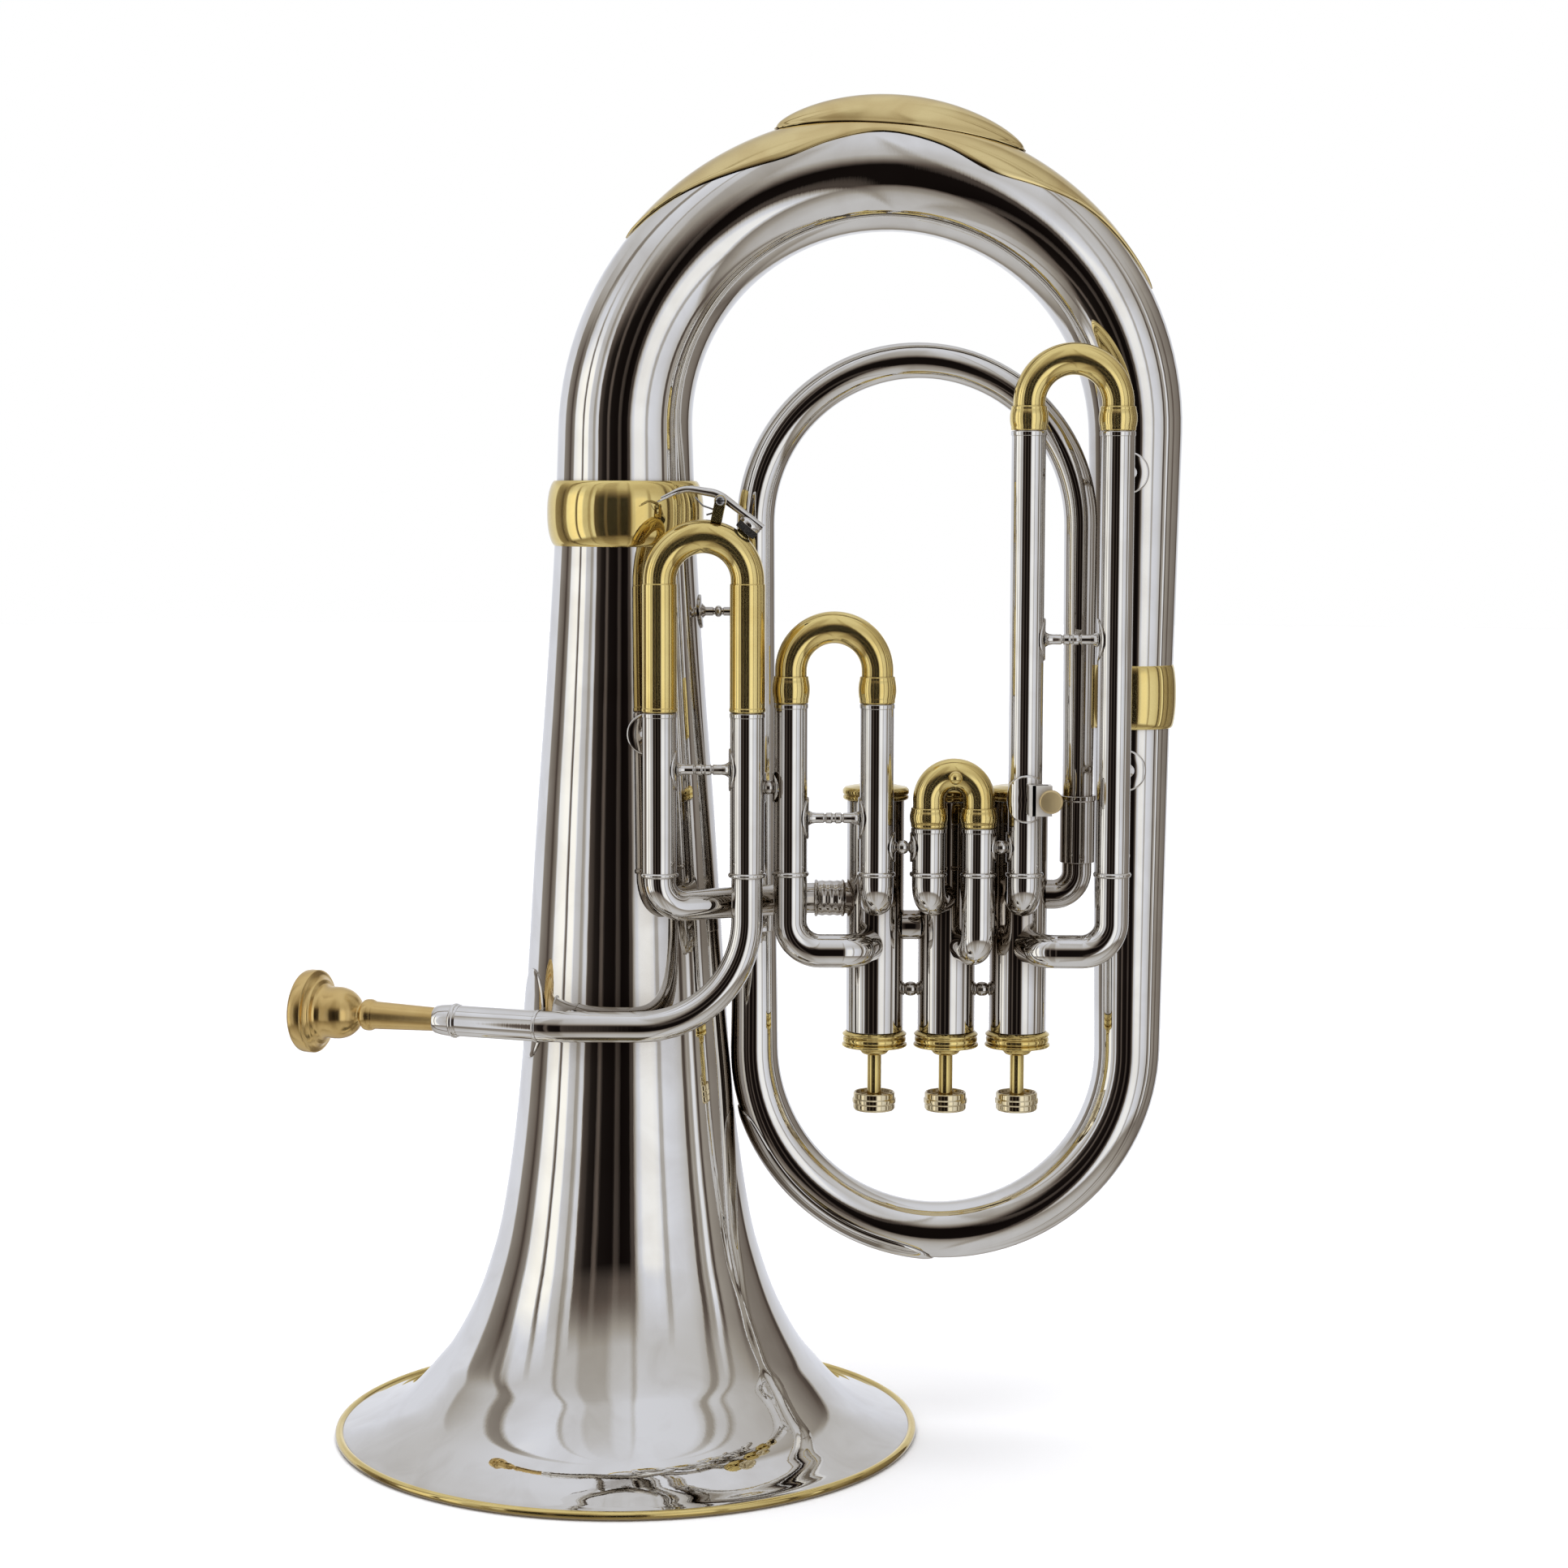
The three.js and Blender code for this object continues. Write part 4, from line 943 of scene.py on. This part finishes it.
def water_key(left, right, y):
    screw = Box("water_key_screw")
    pivot = screw.mid
    bow_centre = vec((left + right) / 2, y, Box("main_slide_bow").hi[2] - TUBE_R + 0.1 - (right - left) / 2)
    bow_top = (right - left) / 2 + 7.7
    lean = unit(vec(pivot[0] - bow_centre[0], pivot[2] - bow_centre[2]))
    across = vec(lean[1], -lean[0])
    foot = vec(bow_centre[0], bow_centre[2]) + lean * (bow_top - 0.6)
    hub = vec(pivot[0], pivot[2])
    ears = []
    for low, high in ((-4.9, -3.3), (3.3, 4.9)):
        top = [hub + 2.5 * (math.cos(a) * across + math.sin(a) * lean) for a in np.linspace(0, math.pi, 17)]
        profile = [foot + across * 2.5] + top + [foot - across * 2.5]
        ears.append(prism([tuple(p) for p in profile], y + low, y + high))
    floor_profile = [foot + across * 2.4, foot + across * 2.4 + lean * 2.6, foot - across * 2.4 + lean * 2.6,
        foot - across * 2.4]
    base = prism([tuple(p) for p in floor_profile], y - 3.4, y + 3.4, 0.05)
    make("water_key_post", merged(*ears, base), BRASS, "main_slide", "water_key_saddle", crease=30)

    head = rounded([(0, 0), (2.15, 0), (2.15, 0.9), (1.6, 1.3), (0, 1.45)], 0.2)
    shank = [(0, -0.1), (1.1, -0.1), (1.1, -11.2), (0.6, -11.6), (0, -11.6)]
    front = (pivot[0], y - 5.2, pivot[2])
    screw_mesh = merged(lathe(head, front, (0, -1, 0), sides=40), lathe(shank, front, (0, -1, 0), sides=24))
    piece = make("water_key_pin", screw_mesh, STEEL, "main_slide", "water_key_screw", crease=35)
    carve(piece, block((pivot[0] - 3, y - 7.2, pivot[2] - 0.28), (pivot[0] + 3, y - 6.0, pivot[2] + 0.28)))

    tip = at(19, 0, 448.6)
    arm = route([(tip[0], y, tip[2]), (AXIS[0] + 30, y, 453.2, 14), (AXIS[0] + 45, y, 450.6, 14),
        (AXIS[0] + 65.2, y, 435.4)], 4)

    def arm_radius(share):
        return float(np.interp(share, (0, 0.12, 0.4, 0.8, 1), (0.6, 1.3, 1.9, 2.0, 1.5)))
    barrel_hub = turned([(1.15, -3.1), (2.9, -3.1), (2.9, 3.1), (1.15, 3.1)], 0.4, pivot, (0, 1, 0))
    thumb = [(0, 0.55), (3.0, 0.65), (4.2, 0.35), (4.4, 0), (4.2, -0.35), (3.0, -0.6), (0, -0.65)]
    points, faces = lathe(thumb, (0, 0, 0), (0, 0, 1), sides=40)
    slope = 0.42
    tilted = [(tip[0] + 3.2 + 1.35 * p[0] * math.cos(slope) - p[2] * math.sin(slope), y + p[1],
        tip[2] + 0.6 + 1.35 * p[0] * math.sin(slope) + p[2] * math.cos(slope)) for p in points]
    pad_turn = 0.7
    pad_way = vec(math.sin(pad_turn), 0, math.cos(pad_turn))
    seat = bow_centre + pad_way * bow_top
    cup = [(4.7, 4.2), (5.35, 4.2), (5.35, 5.8), (4.9, 6.8), (3.0, 7.4), (0, 7.6), (0, 5.9), (4.7, 5.6)]
    arm_mesh = merged(sweep(arm, arm_radius, sides=32), barrel_hub, (tilted, faces),
        turned(cup, 0.4, seat, pad_way))
    make("water_key_arm", arm_mesh, NICKEL, "water_key", "water_key_lever", crease=35)
    pad = rounded([(0, 0.9), (4.9, 0.9), (5.1, 1.4), (5.1, 5.2), (4.8, 5.5), (0, 5.5)], 0.3)
    make("water_key_pad", lathe(pad, seat, pad_way), CORK, "water_key", "water_key_cork")
    chimney = [(1.6, -1.4), (4.4, -1.4), (3.4, 0.1), (3.1, 0.75), (1.6, 0.75)]
    make("water_key_nipple", turned(chimney, 0.25, seat, pad_way), BRASS, "main_slide")

    wire = route([(pivot[0] - 1.5, y - 2.4, pivot[2] - 4.4), (pivot[0] - 8.0, y - 2.4, pivot[2] - 2.2, 3),
        (pivot[0] - 11.5, y - 2.4, pivot[2] + 1.6)], 8)
    low = route([(pivot[0] - 1.8, y + 2.4, pivot[2] - 5.0), (pivot[0] - 6.5, y + 2.4, pivot[2] - 6.4)], 8)
    make("water_key_spring", merged(sweep(wire, 0.4, sides=12), sweep(low, 0.4, sides=12)), STEEL,
        "main_slide")


# ---- Braces and lyre holder ---------------------------------------------------------------
def stem_radius(z):
    """Outside radius of the bell's stem at a height."""
    return float(np.interp(z, (142, 183, 222, 300, 355, 410, 441),
        (53.8, 49.6, 46.9, 42, 37.9, 34.3, STEM_R)))


def post(start, end):
    """A turned post with spread feet and a bead between two grooves."""
    thick, feet = 2.6, 4.6
    start, end = np.array(start, float), np.array(end, float)
    length = np.linalg.norm(end - start)
    middle = length / 2
    outline = [(0, 0), (feet, 0), (feet * 0.75, 0.9), (thick * 0.8, min(2.2, length * 0.2)),
        (thick * 0.8, middle - 2.6), (thick * 0.62, middle - 2.2), (thick * 0.62, middle - 1.6)]
    outline += [(thick * 0.62 + thick * 0.42 * math.cos(t), middle + 1.5 * math.sin(t))
        for t in np.linspace(-1.4, 1.4, 9)]
    outline += [(r, length - z) for r, z in reversed(outline[:7])]
    return lathe(outline, start, end - start, sides=40)


def large_brace(name, centre, towards, tube_r, far, flange, node):
    """A flange on a large tube and a post from it to a point part of the way to another tube."""
    centre = np.array(centre, float)
    outward = unit(vec(towards[0] - centre[0], towards[1] - centre[1], 0))
    near = value_at(tube_r, centre[2]) + 0.4
    disc = wrapped_disc(centre, outward, tube_r, flange, flange, 1.1)
    nickel(name, merged(disc, post(centre + outward * near, centre + outward * far)), node)


def large_braces(main_left, main_y):
    loop_r = 9.9
    large_brace("bell_loop_brace_turned", at(0, 0, 395.2), (LOOP_LEFT_X, AXIS[1]), stem_radius,
        LOOP_LEFT_X - AXIS[0] - loop_r + 0.6, 8, "bell_loop_brace")
    large_brace("bell_slide_brace_turned", at(0, 0, 339.8), (main_left, main_y), stem_radius, 50.9, 9.8,
        "bell_slide_brace")
    slide_right = Box("slide_3_bow").hi[0] - 8.5
    large_brace("upper_branch_brace_turned", (BRANCH_X, AXIS[1], 461), (slide_right, SLIDE_Y),
        bow_radius(0.84), 44, 9.8, "upper_branch_brace")
    large_brace("lower_branch_brace_turned", (BRANCH_X, AXIS[1], 321.7), (slide_right, SLIDE_Y), 17.5,
        43.6, 9.8, "lower_branch_brace")


def leadpipe_brace():
    outward = unit(vec(KINK[0] - AXIS[0], LEAD_Y, 0))
    plate_turn = math.radians(24)
    plate = wrapped_disc(at(0, 0, LEAD_Z), (-math.cos(plate_turn), -math.sin(plate_turn), 0), stem_radius,
        13, 21, 1.0)
    near = stem_radius(LEAD_Z) + 0.6
    reach = math.hypot(KINK[0] - AXIS[0], LEAD_Y) - 6.0
    centre = at(0, 0, LEAD_Z)
    saddle = lathe([(0, 0), (5.2, 0), (3.6, 1.4), (3.0, reach - near - 3.0), (4.6, reach - near),
        (0, reach - near)], centre + outward * near, outward, sides=40)
    nickel("leadpipe_brace_leaf", merged(plate, saddle), "leadpipe_brace")


def lyre_holder():
    box = Box("lyre_socket")
    slide_left = Box("slide_3_tubes").lo[0] + TUBE_R
    z = box.mid[2]
    back = box.hi[1]
    plate = wrapped_disc((slide_left, SLIDE_Y, z), (0.1, -1, 0), TUBE_R, 10.5, 11, 1.2)
    wall = 1.5
    right, left, front = box.hi[0] - 3.5, box.hi[0] - 14, box.lo[1]
    socket = merged(block((left, front, z - 7), (left + wall + 1.6, back, z + 7)),
        block((right - wall, front, z - 7), (right, back, z + 7)),
        block((left + wall, front, z - 7), (right - wall, front + 1.3, z + 7)),
        block((left + wall, back - 1.4, z - 7), (right - wall, back, z + 7)))
    make("lyre_socket_box", socket, CAST_NICKEL, "horn", "lyre_socket", crease=30)
    nickel("lyre_plate", plate)
    screw = Box("lyre_screw")
    thick = screw.size[0] / 2
    outline = [(0, 0), (1.6, 0), (1.6, 2.0), (3.4, 2.1), (thick - 0.9, 2.5), (thick - 0.1, 3.3),
        (thick - 0.1, 5.3), (thick - 0.7, 5.9), (0, 6.0)]
    knob = lathe(rounded(outline, 0.3), (screw.mid[0], screw.hi[1], z), (0, -1, 0), sides=72)
    make("lyre_knob", knob, KNOB_BRASS, "lyre_screw", "lyre_screw", crease=35)


# ---- Everything ---------------------------------------------------------------------------
bell()
barrel("bell_ferrule_barrel", Box("bell_ferrule"), 34.1, 36.9, 33.2, "bell_ferrule")
top_bow()
rest_cap()
lower_bow()
barrel("branch_ferrule_barrel", Box("branch_ferrule"), 19.3, 20.9, 18.4, "branch_ferrule")
inner_loop()
for each in range(3):
    valve(each)
crossovers()
outlet_elbow()
valve_slides()
slide_left, slide_right, slide_y = main_slide()
leadpipe(slide_right, slide_y)
mouthpiece()
water_key(slide_left, slide_right, slide_y)
large_braces(slide_left, slide_y)
leadpipe_brace()
lyre_holder()


# ---- Floor, light and camera --------------------------------------------------------------
def floor():
    mesh = bpy.data.meshes.new("floor")
    count, wide = 128, 9
    ring = [(wide * math.cos(2 * math.pi * k / count), wide * math.sin(2 * math.pi * k / count), -0.0005)
        for k in range(count)]
    mesh.from_pydata(ring, [], [tuple(range(count))])
    piece = added("floor", mesh)
    material = bpy.data.materials.new("pale_floor")
    material.use_nodes = True
    shader = material.node_tree.nodes["Principled BSDF"]
    shader.inputs["Base Color"].default_value = (0.93, 0.93, 0.935, 1)
    shader.inputs["Roughness"].default_value = 0.9
    mesh.materials.append(material)
    piece.visible_glossy = False


# Brightness of the room that the metal mirrors, by direction: degrees to the right of the near side.
# Given to follow the bands on the photographed horn.
ROOM = [(-180, 0.78), (-150, 0.70), (-124, 0.74), (-122, 0.24), (-108, 0.14), (-104, 0.05), (-100, 0.16),
    (-95, 0.24), (-93, 0.85), (-84, 0.98), (-77, 1.08), (-75.5, 0.12), (-73, 0.10), (-71.5, 1.05),
    (-64, 1.0), (-62, 0.60), (-55, 0.52), (-53.5, 0.30), (-50, 0.34), (-48.5, 0.70), (-45, 0.66),
    (-43.5, 0.06), (-38, 0.035), (-36, 0.012), (-29, 0.006), (-27.5, 0.10), (-25, 0.08), (-23.5, 0.006),
    (-10, 0.003), (-8.5, 0.05), (-5, 0.04), (-3.5, 0.002),
    (6, 0.004), (7.5, 0.06), (10, 0.05), (11.5, 0.30), (14, 0.62), (19, 0.85), (30, 0.88), (36, 0.80),
    (37.5, 0.40), (41, 0.40), (42.5, 0.74), (56, 0.66), (66, 0.50), (67.5, 0.08), (71, 0.06), (72.5, 0.36),
    (77, 0.26), (78.5, 0.80), (82, 0.74), (83.5, 0.08), (86, 0.06), (87.5, 0.28), (98, 0.22), (101, 0.10),
    (104, 0.10), (106, 0.22), (128, 0.17), (136, 0.12),
    (138, 0.06), (141, 0.06), (143, 0.55), (160, 0.70), (180, 0.78)]
# Brightness of its ceiling and of the ground, by the height of the direction.
HIGH = [(0.26, 0.18), (0.34, 0.32), (0.46, 0.46), (0.70, 0.57), (0.86, 0.66), (1.0, 0.72)]
LOW = [(-1.0, 0.56), (-0.80, 0.50), (-0.66, 0.40), (-0.58, 0.28), (-0.50, 0.20), (-0.40, 0.16)]
# How much of the ceiling's brightness is left in each direction.
CEILING = [(-180, 1.0), (-101, 1.0), (-98, 0.40), (-91, 0.35), (-87, 1.15), (-56, 1.1), (-53, 0.50),
    (-50, 0.95), (-38, 0.92), (-34, 0.66), (-14, 0.62), (-8, 0.9), (5, 0.95), (9, 0.6), (12, 1.05),
    (60, 1.0), (66, 0.8), (68, 0.45), (72, 0.45), (75, 0.9), (80, 0.9), (83, 0.5), (87, 0.85), (110, 0.8),
    (136, 0.55), (143, 1.0), (180, 1.0)]


def tones(tree, value, table, low, high):
    """A node curve through (value, brightness) pairs between two ends."""
    top = 1.25
    share = spread(tree, value, low, high, 0, 1)
    node = add_node(tree, "ShaderNodeFloatCurve")
    curve = node.mapping.curves[0]
    points = [((a - low) / (high - low), b / top) for a, b in table]
    curve.points[0].location, curve.points[1].location = points[0], points[-1]
    for point in points[1:-1]:
        curve.points.new(*point)
    for point in curve.points:
        point.handle_type = "VECTOR"
    node.mapping.update()
    tree.links.new(share, node.inputs["Value"])
    return maths(tree, "MULTIPLY", node.outputs[0], top)


def feed(tree, socket, source):
    """Sets a socket to a number, or links another socket to it."""
    if isinstance(source, (int, float)):
        socket.default_value = source
    else:
        tree.links.new(source, socket)


def maths(tree, operation, *sources):
    node = add_node(tree, "ShaderNodeMath", operation=operation)
    for socket, source in zip(node.inputs, sources):
        feed(tree, socket, source)
    return node.outputs[0]


def blended(tree, factor, first, second):
    mix = add_node(tree, "ShaderNodeMix", data_type="FLOAT")
    for socket, source in zip((0, 2, 3), (factor, first, second)):
        feed(tree, mix.inputs[socket], source)
    return mix.outputs[0]


def room():
    """The world: plain white to the camera, and the painted tones to everything that mirrors it."""
    world = bpy.data.worlds.new("studio")
    bpy.context.scene.world = world
    world.use_nodes = True
    tree = world.node_tree
    tree.nodes.clear()
    coordinate = add_node(tree, "ShaderNodeTexCoord")
    split = add_node(tree, "ShaderNodeSeparateXYZ")
    tree.links.new(coordinate.outputs["Generated"], split.inputs[0])
    turn = maths(tree, "ARCTAN2", split.outputs["X"], maths(tree, "MULTIPLY", split.outputs["Y"], -1))
    degrees = spread(tree, turn, -math.pi, math.pi, -180, 180)
    height = split.outputs["Z"]
    around = tones(tree, degrees, ROOM, -180, 180)
    steep = spread(tree, maths(tree, "ABSOLUTE", height), 0.84, 0.99, 0, 1)
    streaks = blended(tree, steep, tones(tree, degrees, CEILING, -180, 180), 0.95)
    above, below = (maths(tree, "MULTIPLY", tones(tree, height, table, table[0][0], table[-1][0]), streaks)
        for table in (HIGH, LOW))
    tone = blended(tree, spread(tree, height, 0.24, 0.58, 0, 1), around, above)
    tone = blended(tree, spread(tree, height, -0.50, -0.42, 1, 0), tone, below)
    tint = add_node(tree, "ShaderNodeValToRGB")
    tint.color_ramp.elements[0].color = (0.002, 0.001, 0.001, 1)
    tint.color_ramp.elements[1].color = (1, 0.99, 0.95, 1)
    for place, colour in ((0.10, (0.11, 0.088, 0.075, 1)), (0.30, (0.32, 0.295, 0.265, 1)),
            (0.5, (0.50, 0.495, 0.50, 1)), (0.72, (0.67, 0.69, 0.76, 1)), (0.82, (0.82, 0.83, 0.86, 1))):
        tint.color_ramp.elements.new(place).color = colour
    tree.links.new(tone, tint.inputs["Fac"])
    seen = add_node(tree, "ShaderNodeBackground", Color=(1, 1, 1, 1))
    mirrored = add_node(tree, "ShaderNodeBackground", Strength=1.12)
    tree.links.new(tint.outputs["Color"], mirrored.inputs["Color"])
    path = add_node(tree, "ShaderNodeLightPath")
    choose = add_node(tree, "ShaderNodeMixShader")
    tree.links.new(path.outputs["Is Camera Ray"], choose.inputs[0])
    tree.links.new(mirrored.outputs[0], choose.inputs[1])
    tree.links.new(seen.outputs[0], choose.inputs[2])
    output = add_node(tree, "ShaderNodeOutputWorld")
    tree.links.new(choose.outputs[0], output.inputs["Surface"])


def lamp(name, kind, place, power):
    """A light that the metal doesn't mirror as a spot."""
    data = bpy.data.lights.new(name, kind)
    data.energy = power
    piece = added(name, data)
    piece.location = place
    piece.visible_glossy = False
    return piece


def lights():
    """Even light from all over the ceiling, and a small soft lamp at the near left."""
    ceiling = lamp("ceiling", "SUN", (0, 0, 3), 2.4)
    ceiling.data.angle = math.radians(70)
    place = (-0.9, -1.5, 1.9)
    near = lamp("near_left", "AREA", place, 2)
    near.data.shape = "RECTANGLE"
    near.data.size = 0.16
    near.data.size_y = 0.3
    near.rotation_mode = "QUATERNION"
    near.rotation_quaternion = (Vector((0, 0, 0.3)) - Vector(place)).to_track_quat("-Z", "Y")


def camera():
    """The photo's view: a little above the middle, looking slightly down."""
    data = bpy.data.cameras.new("camera")
    data.sensor_width = 36
    data.lens = 71.74
    data.clip_start = 0.05
    data.clip_end = 50
    piece = added("camera", data)
    down, tilt = math.radians(5.432), math.radians(0.189)
    forward = Vector((0, math.cos(down), -math.sin(down)))
    right = Vector((math.cos(tilt), 0, math.sin(tilt)))
    right = (right - forward * right.dot(forward)).normalized()
    up = right.cross(forward)
    turn = Matrix((right, up, -forward)).transposed()
    piece.matrix_world = Matrix.Translation((0.02318, -1.47957, 0.4539)) @ turn.to_4x4()
    bpy.context.scene.camera = piece


floor()
room()
lights()
camera()
bpy.context.scene.view_settings.view_transform = "Standard"
